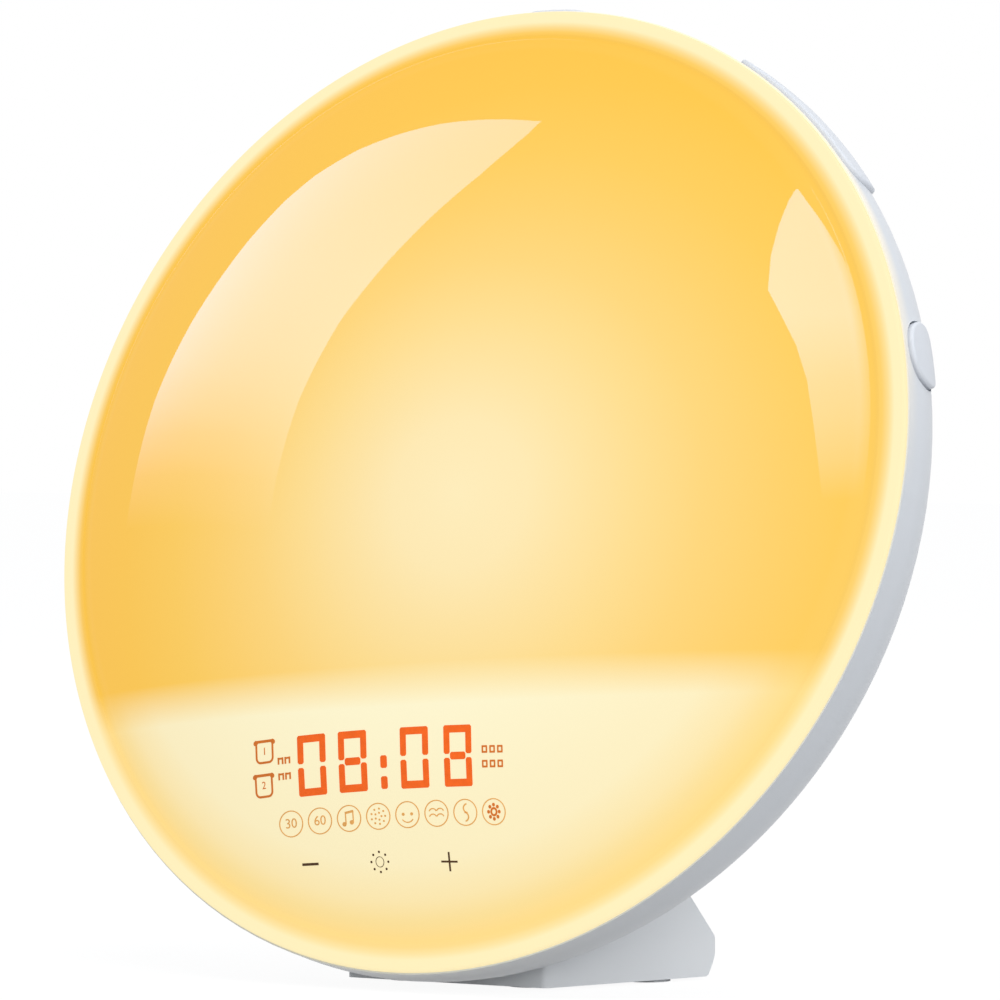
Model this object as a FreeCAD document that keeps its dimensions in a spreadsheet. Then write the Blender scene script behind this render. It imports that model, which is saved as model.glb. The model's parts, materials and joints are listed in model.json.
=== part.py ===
import FreeCAD, Part
import math
import os
from types import SimpleNamespace

import Sketcher

# Sunrise alarm clock: a round lamp with a domed light diffuser, leaning back on a wedge foot.
# Millimetres and degrees. +X is to the right seen from the front, +Y backwards, +Z up, and the
# origin is on the table under the middle of the whole clock.
# The head's pieces are drawn in the head's own frame: X to the right, Y up along the face and Z
# out of the face, with Z = 0 on the flat front ring. One tilt and one height place them all.

SIZES = [
    ("ring_radius", 85.0, "outer radius of the flat front ring"),
    ("ring_width", 3.4, "width of the front ring"),
    ("ring_thickness", 1.0, "thickness of the front ring"),
    ("ring_blend", 3.0, "soft radius between dome and ring"),
    ("dome_height", 23.5, "rise of the dome over the ring"),
    ("dome_wall", 2.2, "wall of the dome"),
    ("face_tilt", 16.4, "lean of the face from upright"),
    ("head_clearance", 1.33, "lowest point of the shell above the table"),
    ("shell_overhang", 0.3, "how far the shell stands out past the ring"),
    ("shell_wall", 2.0, "wall of the rear shell"),
    ("rim_depth", 4.2, "straight part of the shell's rim"),
    ("corner_radius", 14.0, "first bend of the shell behind the rim"),
    ("corner_turn", 50.0, "angle of the first bend"),
    ("haunch_radius", 45.0, "second, flatter bend of the shell"),
    ("haunch_turn", 30.0, "angle of the second bend"),
    ("key_raise", 0.85, "how far a key stands out of the rim"),
    ("key_front", 2.2, "front edge of the keys behind the ring's face"),
    ("key_width", 10.6, "width of the keys from front to back"),
    ("key_gap", 0.35, "gap round each key in the shell"),
    ("key_depth", 6.65, "key's top to its underside"),
    ("key_edge", 0.5, "rounded edge round a key's top"),
    ("oval_length", 11.4, "length of the two oval keys"),
    ("snooze_length", 16.6, "length of the top key"),
    ("rocker_length", 36.2, "length of the two rocker keys"),
    ("oval_angle", 17.0, "place of the oval keys above the horizontal"),
    ("rocker_angle", 51.6, "place of the rocker keys above the horizontal"),
    ("flange_lap", 1.5, "how far a key's flange reaches past its ends"),
    ("flange_gap", 0.8, "flange to the shell's inner wall"),
    ("plunger_radius", 1.5, "stem under a key"),
    ("plunger_length", 3.4, "length of that stem"),
    ("plunger_gap", 0.6, "stem to its switch at rest"),
    ("switch_width", 6.0, "square side of a tact switch"),
    ("switch_height", 3.1, "body of a tact switch"),
    ("switch_button_radius", 1.7, "button of a tact switch"),
    ("switch_button_height", 0.9, "button above the switch body"),
    ("rocker_switch_offset", 11.0, "switches of a rocker either side of its pivot"),
    ("board_thickness", 1.6, "all circuit boards"),
    ("key_board_height", 9.0, "key boards from front to back"),
    ("single_board_length", 21.0, "board under one key"),
    ("rocker_board_length", 32.0, "board under a rocker"),
    ("board_rib", 1.4, "wall of the shell behind each key board"),
    ("pivot_height", 5.0, "rocker's pivot above its board"),
    ("pivot_radius", 1.0, "rocker's pivot pin"),
    ("pivot_clearance", 0.05, "running clearance round the pivot pin"),
    ("lug_width", 4.4, "rocker's pivot lug"),
    ("ear_gap", 0.2, "lug to each bracket ear"),
    ("ear_thickness", 1.2, "bracket's ears and base"),
    ("ear_width", 6.0, "bracket along the rim"),
    ("tray_inset", 20.0, "inside of the white light tray in from the ring's edge"),
    ("tray_wall", 1.5, "wall of the tray"),
    ("tray_floor", 1.0, "floor of the tray"),
    ("tray_depth", 8.0, "tray's floor behind the ring's face"),
    ("tray_gap", 0.2, "tray's flange to the shell"),
    ("light_board_gap", 3.0, "round board with the lamp's lights to the tray"),
    ("led_width", 3.0, "square side of a lamp light"),
    ("led_height", 1.2, "height of a lamp light"),
    ("outer_led_inset", 12.0, "outer arc of lamp lights in from their board's edge"),
    ("inner_led_inset", 36.0, "inner arc of lamp lights in from their board's edge"),
    ("partition_inset", 49.0, "light partition in from the ring's edge"),
    ("partition_wall", 1.5, "thickness of the partition"),
    ("partition_gap", 0.6, "partition to the dome"),
    ("display_gap", 1.5, "partition to the display board"),
    ("display_half_width", 38.0, "half width of the display board"),
    ("display_inset", 9.5, "round lower edge of the display board in from the ring's edge"),
    ("module_width", 38.0, "digit module along the face"),
    ("module_height", 11.0, "digit module up the face"),
    ("module_depth", 6.5, "digit module out of its board"),
    ("module_inset", 32.5, "digit module in from the ring's edge"),
    ("guide_width", 49.0, "block of light guides for the symbols"),
    ("guide_height", 6.0, "light guides up the face"),
    ("guide_depth", 2.2, "light guides out of their board"),
    ("guide_inset", 23.5, "light guides in from the ring's edge"),
    ("guide_pitch", 5.9, "one symbol to the next"),
    ("touch_inset", 17.0, "touch pads in from the ring's edge"),
    ("touch_spread", 14.4, "middle touch pad to the outer ones"),
    ("touch_radius", 2.0, "touch pads"),
    ("touch_height", 0.8, "touch pads out of their board"),
    ("main_board_level", 13.0, "front of the main board behind the ring's face"),
    ("main_board_side_inset", 43.0, "main board's sides in from the ring's edge"),
    ("clock_chip_side", 9.0, "square side of the clock chip"),
    ("clock_chip_height", 1.4, "height of the clock chip"),
    ("radio_can_length", 15.0, "radio's metal can across the board"),
    ("radio_can_width", 13.0, "radio's metal can up the board"),
    ("radio_can_height", 2.4, "height of the radio's metal can"),
    ("amplifier_length", 5.0, "amplifier chip across the board"),
    ("amplifier_width", 4.0, "amplifier chip up the board"),
    ("amplifier_height", 1.2, "height of an amplifier chip"),
    ("main_board_top", 12.0, "top of the main board below the middle"),
    ("main_board_low_inset", 33.0, "main board's bottom in from the ring's edge"),
    ("post_radius", 3.2, "posts under the main board"),
    ("post_inset", 4.0, "posts in from the main board's edges"),
    ("screw_radius", 1.1, "all screw shanks"),
    ("screw_head_radius", 2.2, "all screw heads"),
    ("screw_head_height", 1.3, "all screw heads"),
    ("screw_clearance", 0.3, "round a screw in the hole it passes"),
    ("main_board_screw_depth", 5.0, "main board's screws into their posts"),
    ("case_post_radius", 3.6, "posts of the tray and the shell that the case screws join"),
    ("case_joint_level", 15.0, "where those posts meet behind the ring's face"),
    ("case_post_inset", 8.4, "case screws in from the tray's wall"),
    ("case_high_angle", 50.7, "upper case screws above the horizontal"),
    ("case_low_angle", 22.9, "lower case screws below the horizontal"),
    ("speaker_rise", 20.0, "speaker above the middle"),
    ("speaker_radius", 25.5, "outer radius of the speaker"),
    ("speaker_rim", 3.5, "flat rim of the speaker"),
    ("speaker_plate", 1.0, "sheet of the speaker's basket"),
    ("speaker_depth", 8.0, "basket's rim to the magnet"),
    ("gasket_height", 0.8, "foam ring between speaker and shell"),
    ("magnet_radius", 12.0, "speaker magnet"),
    ("magnet_height", 4.5, "speaker magnet"),
    ("grille_hole", 1.1, "radius of a speaker hole in the shell"),
    ("grille_pitch", 5.0, "one ring of speaker holes to the next"),
    ("jack_side", 24.0, "power socket to the right of the middle"),
    ("jack_inset", 53.0, "power socket in from the ring's lower edge"),
    ("jack_width", 9.0, "square block of the power socket"),
    ("jack_nose_radius", 4.3, "round nose of the power socket"),
    ("jack_nose_length", 1.6, "nose out of the block"),
    ("jack_bore_radius", 3.1, "bore for the power plug"),
    ("jack_bore_depth", 9.0, "depth of that bore"),
    ("jack_pin_radius", 1.0, "middle pin of the socket"),
    ("nose_gap", 0.3, "shell round the socket's nose"),
    ("door_side_inset", 60.0, "battery door in from the ring's left edge"),
    ("door_inset", 53.0, "battery door in from the ring's lower edge"),
    ("door_radius", 13.0, "round battery door"),
    ("door_gap", 0.3, "shell round the door"),
    ("door_thickness", 1.4, "plate of the door"),
    ("door_hub_radius", 11.4, "hub inside the door"),
    ("door_bar_length", 30.6, "locking bar across the hub"),
    ("door_bar_width", 6.0, "locking bar"),
    ("door_bar_thickness", 1.2, "locking bar"),
    ("door_bar_gap", 0.4, "locking bar to the shell's wall"),
    ("door_turn", 60.0, "turn that frees the door"),
    ("coin_slot_length", 13.0, "slot in the door for a coin"),
    ("coin_slot_width", 1.8, "slot in the door for a coin"),
    ("coin_slot_depth", 0.8, "slot in the door for a coin"),
    ("cell_radius", 10.0, "coin cell"),
    ("cell_thickness", 3.2, "coin cell"),
    ("cell_gap", 0.4, "door's hub to the cell"),
    ("holder_wall", 1.5, "battery holder round the cell"),
    ("contact_radius", 6.0, "spring contact under the cell"),
    ("contact_thickness", 0.4, "spring contact under the cell"),
    ("grommet_side", 40.0, "aerial grommet to the right of the middle"),
    ("grommet_rise", 4.0, "aerial grommet above the middle"),
    ("grommet_radius", 2.4, "aerial grommet in the wall"),
    ("grommet_lip", 0.8, "lips of the grommet"),
    ("grommet_bore", 0.8, "bore for the aerial wire"),
    ("foot_front", 7.1, "foot's front edge ahead of the ring's middle"),
    ("foot_back", 28.6, "foot's back edge on the table behind the ring's middle"),
    ("foot_front_half", 20.3, "half width of the foot in front"),
    ("foot_back_half", 30.9, "half width of the foot behind"),
    ("foot_heel_out", 2.6, "heel of the foot out past its base"),
    ("foot_heel_height", 5.5, "heel of the foot above its base"),
    ("foot_height", 31.3, "top of the foot's slope above its base"),
    ("foot_slope_run", 19.8, "foot's slope from heel to top"),
    ("foot_corner", 1.2, "rounded corners of the foot"),
    ("foot_edge", 1.0, "rounded heel and rear edge of the foot"),
    ("foot_screw_side", 12.0, "foot screws either side of the middle"),
    ("foot_screw_inset", 21.0, "foot screws in from the ring's lower edge"),
    ("foot_screw_length", 11.6, "foot screws"),
    ("foot_seat_level", 21.4, "seat of the foot screws behind the ring's face"),
    ("pad_radius", 4.0, "rubber feet"),
    ("pad_proud", 0.5, "rubber feet below the foot"),
    ("pad_recess", 0.8, "rubber feet inside the foot"),
    ("pad_inset", 8.0, "rubber feet in from the foot's edges"),
    ("wire_radius", 0.6, "speaker wires"),
    ("wire_bend", 3.0, "bend of the speaker wires"),
    ("wire_spread", 3.0, "speaker wires either side of the middle"),
    ("pin_pitch", 2.54, "header pins"),
    ("pin_radius", 0.35, "header pins"),
    ("window_margin", 1.5, "tray's window round the header pins"),
]


class Size(float):
    """A number in millimetres or degrees with the sheet expression that gives it."""

    def __new__(cls, amount, text):
        size = super().__new__(cls, amount)
        size.text = text
        return size

    def __add__(self, other):
        return Size(float(self) + float(other), f"({text_of(self)} + {text_of(other)})")

    def __radd__(self, other):
        return Size(float(other) + float(self), f"({text_of(other)} + {text_of(self)})")

    def __sub__(self, other):
        return Size(float(self) - float(other), f"({text_of(self)} - {text_of(other)})")

    def __rsub__(self, other):
        return Size(float(other) - float(self), f"({text_of(other)} - {text_of(self)})")

    def __mul__(self, other):
        return Size(float(self) * float(other), f"({text_of(self)} * {text_of(other)})")

    def __rmul__(self, other):
        return Size(float(other) * float(self), f"({text_of(other)} * {text_of(self)})")

    def __truediv__(self, other):
        return Size(float(self) / float(other), f"({text_of(self)} / {text_of(other)})")

    def __neg__(self):
        return Size(-float(self), f"(0 - {text_of(self)})")


def text_of(amount):
    return amount.text if isinstance(amount, Size) else repr(float(amount))


def sine(angle):
    return Size(math.sin(math.radians(angle)), f"sin({text_of(angle)})")


def cosine(angle):
    return Size(math.cos(math.radians(angle)), f"cos({text_of(angle)})")


def root(amount):
    return Size(math.sqrt(amount), f"sqrt({text_of(amount)})")


document = FreeCAD.newDocument("sunrise_alarm_clock")
sheet = document.addObject("Spreadsheet::Sheet", "sizes")
for row, (alias, amount, note) in enumerate(SIZES, start=1):
    sheet.set(f"A{row}", alias)
    sheet.set(f"B{row}", str(amount))
    sheet.setAlias(f"B{row}", alias)
    sheet.set(f"C{row}", note)
document.recompute()
size = SimpleNamespace(**{alias: Size(amount, f"sizes.{alias}") for alias, amount, note in SIZES})

# Sizes that follow the ring
size.tray_radius = size.ring_radius - size.tray_inset
size.light_board_radius = size.tray_radius - size.light_board_gap
size.outer_led_radius = size.light_board_radius - size.outer_led_inset
size.inner_led_radius = size.light_board_radius - size.inner_led_inset
size.display_radius = size.ring_radius - size.display_inset
size.case_post_circle = size.tray_radius - size.case_post_inset
size.partition_drop = size.ring_radius - size.partition_inset
size.module_drop = size.ring_radius - size.module_inset
size.guide_drop = size.ring_radius - size.guide_inset
size.touch_drop = size.ring_radius - size.touch_inset
size.main_board_half_width = size.ring_radius - size.main_board_side_inset
size.main_board_bottom = size.ring_radius - size.main_board_low_inset
size.jack_drop = size.ring_radius - size.jack_inset
size.door_side = size.ring_radius - size.door_side_inset
size.door_drop = size.ring_radius - size.door_inset
size.foot_screw_drop = size.ring_radius - size.foot_screw_inset
sub_parts = []


# Helpers: bodies, sketches and features whose numbers are bound to the sheet

def bind(thing, path, amount):
    thing.setExpression(path, text_of(amount))


def new_body(name, in_head=True, kept=True):
    """A body in the head's leaning frame, or in the upright frame on the table."""
    body = document.addObject("PartDesign::Body", name)
    body.Label = name
    if in_head:
        place_in_head(body)
    if kept:
        sub_parts.append(body)
    return body


def place_in_head(body):
    lean = 90 - size.face_tilt
    turn = FreeCAD.Rotation(FreeCAD.Vector(1, 0, 0), float(lean))
    body.Placement = FreeCAD.Placement(FreeCAD.Vector(0, float(centre_y), float(centre_height)), turn)
    bind(body, "Placement.Base.y", centre_y)
    bind(body, "Placement.Base.z", centre_height)
    bind(body, "Placement.Rotation.Angle", lean)


def sketch_on(body, role, level=0.0):
    """A sketch on one of the body's own planes, moved along that plane's normal."""
    sketch = body.newObject("Sketcher::SketchObject", f"{body.Name}_sketch")
    plane = next(part for part in body.Origin.OriginFeatures if part.Role == role)
    sketch.AttachmentSupport = [(plane, "")]
    sketch.MapMode = "FlatFace"
    bind(sketch, "AttachmentOffset.Base.z", level)
    return sketch


def rim_sketch(body, angle, radius):
    """A sketch square to the radius at an angle round the rim: x runs along the rim, y out of the face."""
    sketch = sketch_on(body, "XZ_Plane")
    turn = angle + 90.0
    sketch.AttachmentOffset = FreeCAD.Placement(
        FreeCAD.Vector(), FreeCAD.Rotation(FreeCAD.Vector(0, 1, 0), float(turn)))
    bind(sketch, "AttachmentOffset.Base.x", radius * cosine(angle))
    bind(sketch, "AttachmentOffset.Base.z", -(radius * sine(angle)))
    bind(sketch, "AttachmentOffset.Rotation.Angle", turn)
    return sketch


def outline(sketch, points):
    """A closed loop. A point is (x, y), or (x, y, radius) where an arc leaves it.

    A positive radius turns counter-clockwise to the next point, a negative one clockwise.
    """
    first = sketch.GeometryCount
    starts = []
    ends = []
    for index, point in enumerate(points):
        here = FreeCAD.Vector(float(point[0]), float(point[1]), 0)
        after = points[(index + 1) % len(points)]
        there = FreeCAD.Vector(float(after[0]), float(after[1]), 0)
        number = first + index
        if len(point) == 2:
            sketch.addGeometry(Part.LineSegment(here, there))
            starts.append((number, 1))
            ends.append((number, 2))
            continue
        bulge = abs(point[2])
        onwards = float(point[2]) > 0
        begin, finish = (here, there) if onwards else (there, here)
        chord = finish - begin
        reach = math.sqrt(max(float(bulge) ** 2 - chord.Length ** 2 / 4, 0.0))
        middle = (begin + finish) / 2 + FreeCAD.Vector(-chord.y, chord.x, 0) / chord.Length * reach
        low = math.atan2(begin.y - middle.y, begin.x - middle.x)
        high = math.atan2(finish.y - middle.y, finish.x - middle.x)
        circle = Part.Circle(middle, FreeCAD.Vector(0, 0, 1), float(bulge))
        sketch.addGeometry(Part.ArcOfCircle(circle, low, high))
        starts.append((number, 1 if onwards else 2))
        ends.append((number, 2 if onwards else 1))
        constrain(sketch, "Radius", (number,), point[2] if onwards else -point[2])
    for index, point in enumerate(points):
        constrain(sketch, "DistanceX", (-1, 1) + starts[index], point[0])
        constrain(sketch, "DistanceY", (-1, 1) + starts[index], point[1])
        following = starts[(index + 1) % len(points)]
        sketch.addConstraint(Sketcher.Constraint("Coincident", *ends[index], *following))


def constrain(sketch, kind, places, amount):
    index = sketch.addConstraint(Sketcher.Constraint(kind, *places, float(amount)))
    bind(sketch, f"Constraints[{index}]", amount)


def circle(sketch, x, y, radius):
    number = sketch.addGeometry(Part.Circle(
        FreeCAD.Vector(float(x), float(y), 0), FreeCAD.Vector(0, 0, 1), float(radius)))
    constrain(sketch, "DistanceX", (-1, 1, number, 3), x)
    constrain(sketch, "DistanceY", (-1, 1, number, 3), y)
    constrain(sketch, "Radius", (number,), radius)


def rectangle(sketch, x, y, width, height):
    left = x - width / 2
    right = x + width / 2
    low = y - height / 2
    high = y + height / 2
    outline(sketch, [(left, low), (right, low), (right, high), (left, high)])


def pill(sketch, y, length, width):
    """A key's outline: straight sides and round ends, centred on x = 0."""
    curve = width / 2
    side = length / 2 - curve
    end = length / 2
    outline(sketch, [
        (side, y - curve, curve), (end, y, curve), (side, y + curve),
        (-side, y + curve, curve), (-end, y, curve), (-side, y - curve)])


def feature(kind, body, sketch, amount=None, backwards=False):
    made = body.newObject(f"PartDesign::{kind}", f"{body.Name}_{kind.lower()}")
    made.Profile = (sketch, [""])
    if kind in ("Revolution", "Groove"):
        made.ReferenceAxis = (sketch, ["V_Axis"])
        made.Angle = 360
    else:
        bind(made, "Length", amount)
        made.Reversed = backwards
    sketch.Visibility = False
    return made


def fillet(body, radius, wanted):
    """Round the edges of the body's tip that pass a test."""
    document.recompute()
    tip = body.Tip
    names = [f"Edge{n}" for n, edge in enumerate(tip.Shape.Edges, start=1)
             if not edge.Degenerated and wanted(edge)]
    made = body.newObject("PartDesign::Fillet", f"{body.Name}_fillet")
    made.Base = (tip, names)
    bind(made, "Radius", radius)
    return made


# Places that several pieces share, in the head's frame

sphere_radius = (size.ring_radius - size.ring_width) * (size.ring_radius - size.ring_width)
sphere_radius = (sphere_radius + size.dome_height * size.dome_height) / (2 * size.dome_height)
sphere_level = size.dome_height - sphere_radius
inner_sphere = sphere_radius - size.dome_wall
rim_radius = size.ring_radius + size.shell_overhang
rim_end = -(size.ring_thickness + size.rim_depth)
corner_centre = rim_radius - size.corner_radius
back_turn = size.corner_turn + size.haunch_turn
haunch_shift = size.haunch_radius - size.corner_radius
haunch_centre = corner_centre - haunch_shift * cosine(size.corner_turn)
haunch_level = rim_end + haunch_shift * sine(size.corner_turn)
back_level = haunch_level - size.haunch_radius * sine(back_turn)
inner_back = haunch_level - (size.haunch_radius - size.shell_wall) * sine(back_turn)

dome_front = -(sphere_level * cosine(size.face_tilt)) - sphere_radius
haunch_back = haunch_centre * sine(size.face_tilt) - haunch_level * cosine(size.face_tilt) + size.haunch_radius
centre_y = -((dome_front + haunch_back) / 2)
shell_drop = corner_centre * cosine(size.face_tilt) - rim_end * sine(size.face_tilt) + size.corner_radius
centre_height = shell_drop + size.head_clearance

key_level = -(size.key_front + size.key_width / 2)
key_underside = rim_radius + size.key_raise - size.key_depth
plunger_tip = key_underside - size.plunger_length
switch_button_top = plunger_tip - size.plunger_gap
switch_top = switch_button_top - size.switch_button_height
key_board_face = switch_top - size.switch_height
key_board_back = key_board_face - size.board_thickness
pivot_place = key_board_face + size.pivot_height
bracket_face = key_board_face + size.ear_thickness

OVAL_KEYS = {"clock_key": size.oval_angle, "light_key": 180.0 - size.oval_angle}
ROCKER_KEYS = {"alarm_rocker": size.rocker_angle, "volume_rocker": 180.0 - size.rocker_angle}
SNOOZE_ANGLE = Size(90.0, "90.0")
SINGLE_KEYS = {**OVAL_KEYS, "snooze_key": SNOOZE_ANGLE}
KEY_LENGTHS = {name: size.oval_length for name in OVAL_KEYS}
KEY_LENGTHS["snooze_key"] = size.snooze_length
KEY_LENGTHS.update({name: size.rocker_length for name in ROCKER_KEYS})
ALL_KEYS = {**SINGLE_KEYS, **ROCKER_KEYS}

screw_hole = size.screw_radius + size.screw_clearance
case_screw_places = [
    (side * size.case_post_circle * cosine(angle), rise * size.case_post_circle * sine(angle))
    for angle, rise in ((size.case_high_angle, 1.0), (size.case_low_angle, -1.0))
    for side in (-1.0, 1.0)]
board_post_places = [
    (side * (size.main_board_half_width - size.post_inset), y)
    for y in (-(size.main_board_top + size.post_inset), -(size.main_board_bottom - size.post_inset))
    for side in (-1.0, 1.0)]
foot_screw_places = [(side * size.foot_screw_side, -size.foot_screw_drop) for side in (-1.0, 1.0)]
board_back = -(size.main_board_level + size.board_thickness)
tray_floor_back = -(size.tray_depth + size.tray_floor)
display_top = -(size.partition_drop + size.partition_wall + size.display_gap)
display_face = size.board_thickness - size.ring_thickness
header_places = [((n - 3.5) * size.pin_pitch, display_top - 2 * size.pin_pitch) for n in range(8)]
light_pin_places = [(side * 2 * size.pin_pitch, -(size.partition_drop / 2)) for side in (-1.0, 1.0)]


def back_profile(offset):
    """The shell's section from the rim to the back, moved outwards by an offset."""
    corner = size.corner_radius + offset
    haunch = size.haunch_radius + offset
    turn_x = corner_centre + corner * cosine(size.corner_turn)
    turn_y = rim_end - corner * sine(size.corner_turn)
    end_x = haunch_centre + haunch * cosine(back_turn)
    end_y = haunch_level - haunch * sine(back_turn)
    return [(rim_radius + offset, rim_end, -corner), (turn_x, turn_y, -haunch), (end_x, end_y)]


def outside_profile(offset):
    """The space outside the rim, which a groove takes off a key's top or flange."""
    rim, turn, _ = back_profile(offset)
    far = size.ring_radius + size.corner_radius
    return [(rim[0], 2.0), rim, (turn[0], turn[1]), (far, turn[1]), (far, 2.0)]


def beyond_profile(offset):
    """Everything outside the shell's section, which a groove takes off the posts and ribs."""
    rim, turn, end = back_profile(offset)
    far = size.ring_radius + size.corner_radius
    below = 2 * back_level
    return [(rim[0], 2.0), rim, turn, end, (0.0, end[1]), (0.0, below), (far, below), (far, 2.0)]


# Head: light dome, tray and rear shell

def front_diffuser():
    body = new_body("front_diffuser")
    sketch = sketch_on(body, "XZ_Plane")
    under = -size.ring_thickness
    mouth = root(inner_sphere * inner_sphere - (under - sphere_level) * (under - sphere_level))
    outline(sketch, [
        (0.0, size.dome_height, -sphere_radius), (size.ring_radius - size.ring_width, 0.0),
        (size.ring_radius, 0.0), (size.ring_radius, under), (mouth, under, inner_sphere),
        (0.0, size.dome_height - size.dome_wall)])
    feature("Revolution", body, sketch)
    seam = float(size.ring_radius - size.ring_width)
    fillet(body, size.ring_blend, lambda edge: is_ring(edge, seam, 0.0))


def is_ring(edge, radius, level):
    curve = edge.Curve
    return (isinstance(curve, Part.Circle) and abs(curve.Radius - radius) < 0.01
            and abs(curve.Center.z - level) < 0.01)


def light_tray():
    body = new_body("light_tray")
    sketch = sketch_on(body, "XZ_Plane")
    wall = size.tray_radius + size.tray_wall
    rim = rim_radius - size.shell_wall - size.tray_gap
    face = -size.ring_thickness
    outline(sketch, [
        (0.0, -size.tray_depth), (size.tray_radius, -size.tray_depth), (size.tray_radius, face),
        (rim, face), (rim, face - size.tray_floor), (wall, face - size.tray_floor),
        (wall, tray_floor_back), (0.0, tray_floor_back)])
    feature("Revolution", body, sketch)
    posts = sketch_on(body, "XY_Plane", -size.case_joint_level)
    for x, y in case_screw_places:
        circle(posts, x, y, size.case_post_radius)
    feature("Pad", body, posts, size.case_joint_level + tray_floor_back)
    bores = sketch_on(body, "XY_Plane", -size.case_joint_level)
    for x, y in case_screw_places:
        circle(bores, x, y, size.screw_radius)
    feature("Pocket", body, bores, size.case_joint_level + tray_floor_back, backwards=True)
    window = sketch_on(body, "XY_Plane", -size.tray_depth)
    x, y = header_places[0]
    rectangle(window, 0.0 * x, y, -2 * x + 2 * size.window_margin, 2 * size.window_margin)
    for x, y in light_pin_places:
        circle(window, x, y, size.window_margin)
    feature("Pocket", body, window, size.tray_floor)


def rear_shell():
    body = new_body("rear_shell")
    shell_posts(body)
    for name, angle in ALL_KEYS.items():
        key_board_rib(body, name, angle)
    trim = sketch_on(body, "XZ_Plane")
    outline(trim, beyond_profile(-(size.shell_wall / 2)))
    feature("Groove", body, trim)
    sketch = sketch_on(body, "XZ_Plane")
    front = -size.ring_thickness
    outer = back_profile(0.0 * size.shell_wall)
    inner = back_profile(-size.shell_wall)
    outline(sketch, [
        (rim_radius, front), *outer, (0.0, back_level), (0.0, inner_back),
        (*inner[2], size.haunch_radius - size.shell_wall),
        (*inner[1][:2], size.corner_radius - size.shell_wall), inner[0][:2],
        (rim_radius - size.shell_wall, front)])
    feature("Revolution", body, sketch)
    for name, angle in ALL_KEYS.items():
        opening = rim_sketch(body, angle, plunger_tip)
        pill(opening, key_level, KEY_LENGTHS[name] + 2 * size.key_gap, size.key_width + 2 * size.key_gap)
        feature("Pocket", body, opening, size.key_depth * 2, backwards=True)
    shell_bores(body)
    shell_back_openings(body)


def key_board_rib(body, name, angle):
    """A wall from the shell's back that carries one key board, with holes for its screws."""
    length = size.rocker_board_length if name in ROCKER_KEYS else size.single_board_length
    inside = key_board_back - size.board_rib
    low = back_level
    high = key_level + size.key_board_height / 2
    rib = rim_sketch(body, angle, inside)
    outline(rib, [(-length / 2, low), (length / 2, low), (length / 2, high), (-length / 2, high)])
    feature("Pad", body, rib, size.board_rib)
    holes = rim_sketch(body, angle, inside)
    for x in key_screw_places(name):
        circle(holes, x, key_level, size.screw_radius)
    feature("Pocket", body, holes, size.board_rib, backwards=True)


def key_screw_places(name):
    if name in ROCKER_KEYS:
        return [0.0 * size.screw_radius]
    return [side * (size.single_board_length / 2 - size.screw_head_radius - size.screw_clearance)
            for side in (-1.0, 1.0)]


def shell_posts(body):
    """Posts up from the back wall: under the main board, for the case screws and the foot's screws."""
    groups = [
        (board_post_places, size.post_radius, board_back),
        (case_screw_places, size.case_post_radius, -size.case_joint_level),
        (foot_screw_places, size.case_post_radius, -size.foot_seat_level)]
    for places, radius, level in groups:
        posts = sketch_on(body, "XY_Plane", back_level)
        for x, y in places:
            circle(posts, x, y, radius)
        feature("Pad", body, posts, level - back_level)


def shell_bores(body):
    """Screw holes down those posts, and sinks in the back for the case screws' heads."""
    bores = sketch_on(body, "XY_Plane", board_back)
    for x, y in board_post_places:
        circle(bores, x, y, size.screw_radius)
    feature("Pocket", body, bores, size.main_board_screw_depth + size.screw_clearance)
    passages = sketch_on(body, "XY_Plane", 2 * back_level)
    for x, y in case_screw_places + foot_screw_places:
        circle(passages, x, y, screw_hole)
    feature("Pocket", body, passages, -(2 * back_level) - size.ring_thickness, backwards=True)
    sinks = sketch_on(body, "XY_Plane", back_level)
    for x, y in case_screw_places:
        circle(sinks, x, y, size.screw_head_radius + size.screw_clearance)
    feature("Pocket", body, sinks, size.shell_wall, backwards=True)


def shell_back_openings(body):
    """Speaker holes, power socket, battery door and grommet in the flat back."""
    openings = sketch_on(body, "XY_Plane", back_level)
    circle(openings, 0.0 * size.grille_pitch, size.speaker_rise, size.grille_hole)
    for ring in (1, 2, 3):
        for n in range(6 * ring):
            angle = 2 * math.pi * n / (6 * ring)
            circle(openings, ring * size.grille_pitch * math.cos(angle),
                   size.speaker_rise + ring * size.grille_pitch * math.sin(angle), size.grille_hole)
    circle(openings, size.jack_side, -size.jack_drop, size.jack_nose_radius + size.nose_gap)
    circle(openings, -size.door_side, -size.door_drop, size.door_radius + size.door_gap)
    circle(openings, size.grommet_side, size.grommet_rise, size.grommet_radius)
    feature("Pocket", body, openings, size.shell_wall, backwards=True)
    notches = sketch_on(body, "XY_Plane", back_level)
    turned_bar(notches, size.door_turn, size.door_bar_length + 2 * size.door_gap,
               size.door_bar_width + 2 * size.door_gap)
    feature("Pocket", body, notches, size.shell_wall, backwards=True)


def turned_bar(sketch, angle, length, width):
    """A rectangle about the battery door's middle, turned from the horizontal."""
    points = []
    for along, across in ((-0.5, -0.5), (0.5, -0.5), (0.5, 0.5), (-0.5, 0.5)):
        x = along * length * cosine(angle) - across * width * sine(angle)
        y = along * length * sine(angle) + across * width * cosine(angle)
        points.append((x - size.door_side, y - size.door_drop))
    outline(sketch, points)


# Keys, their boards and switches

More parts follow.
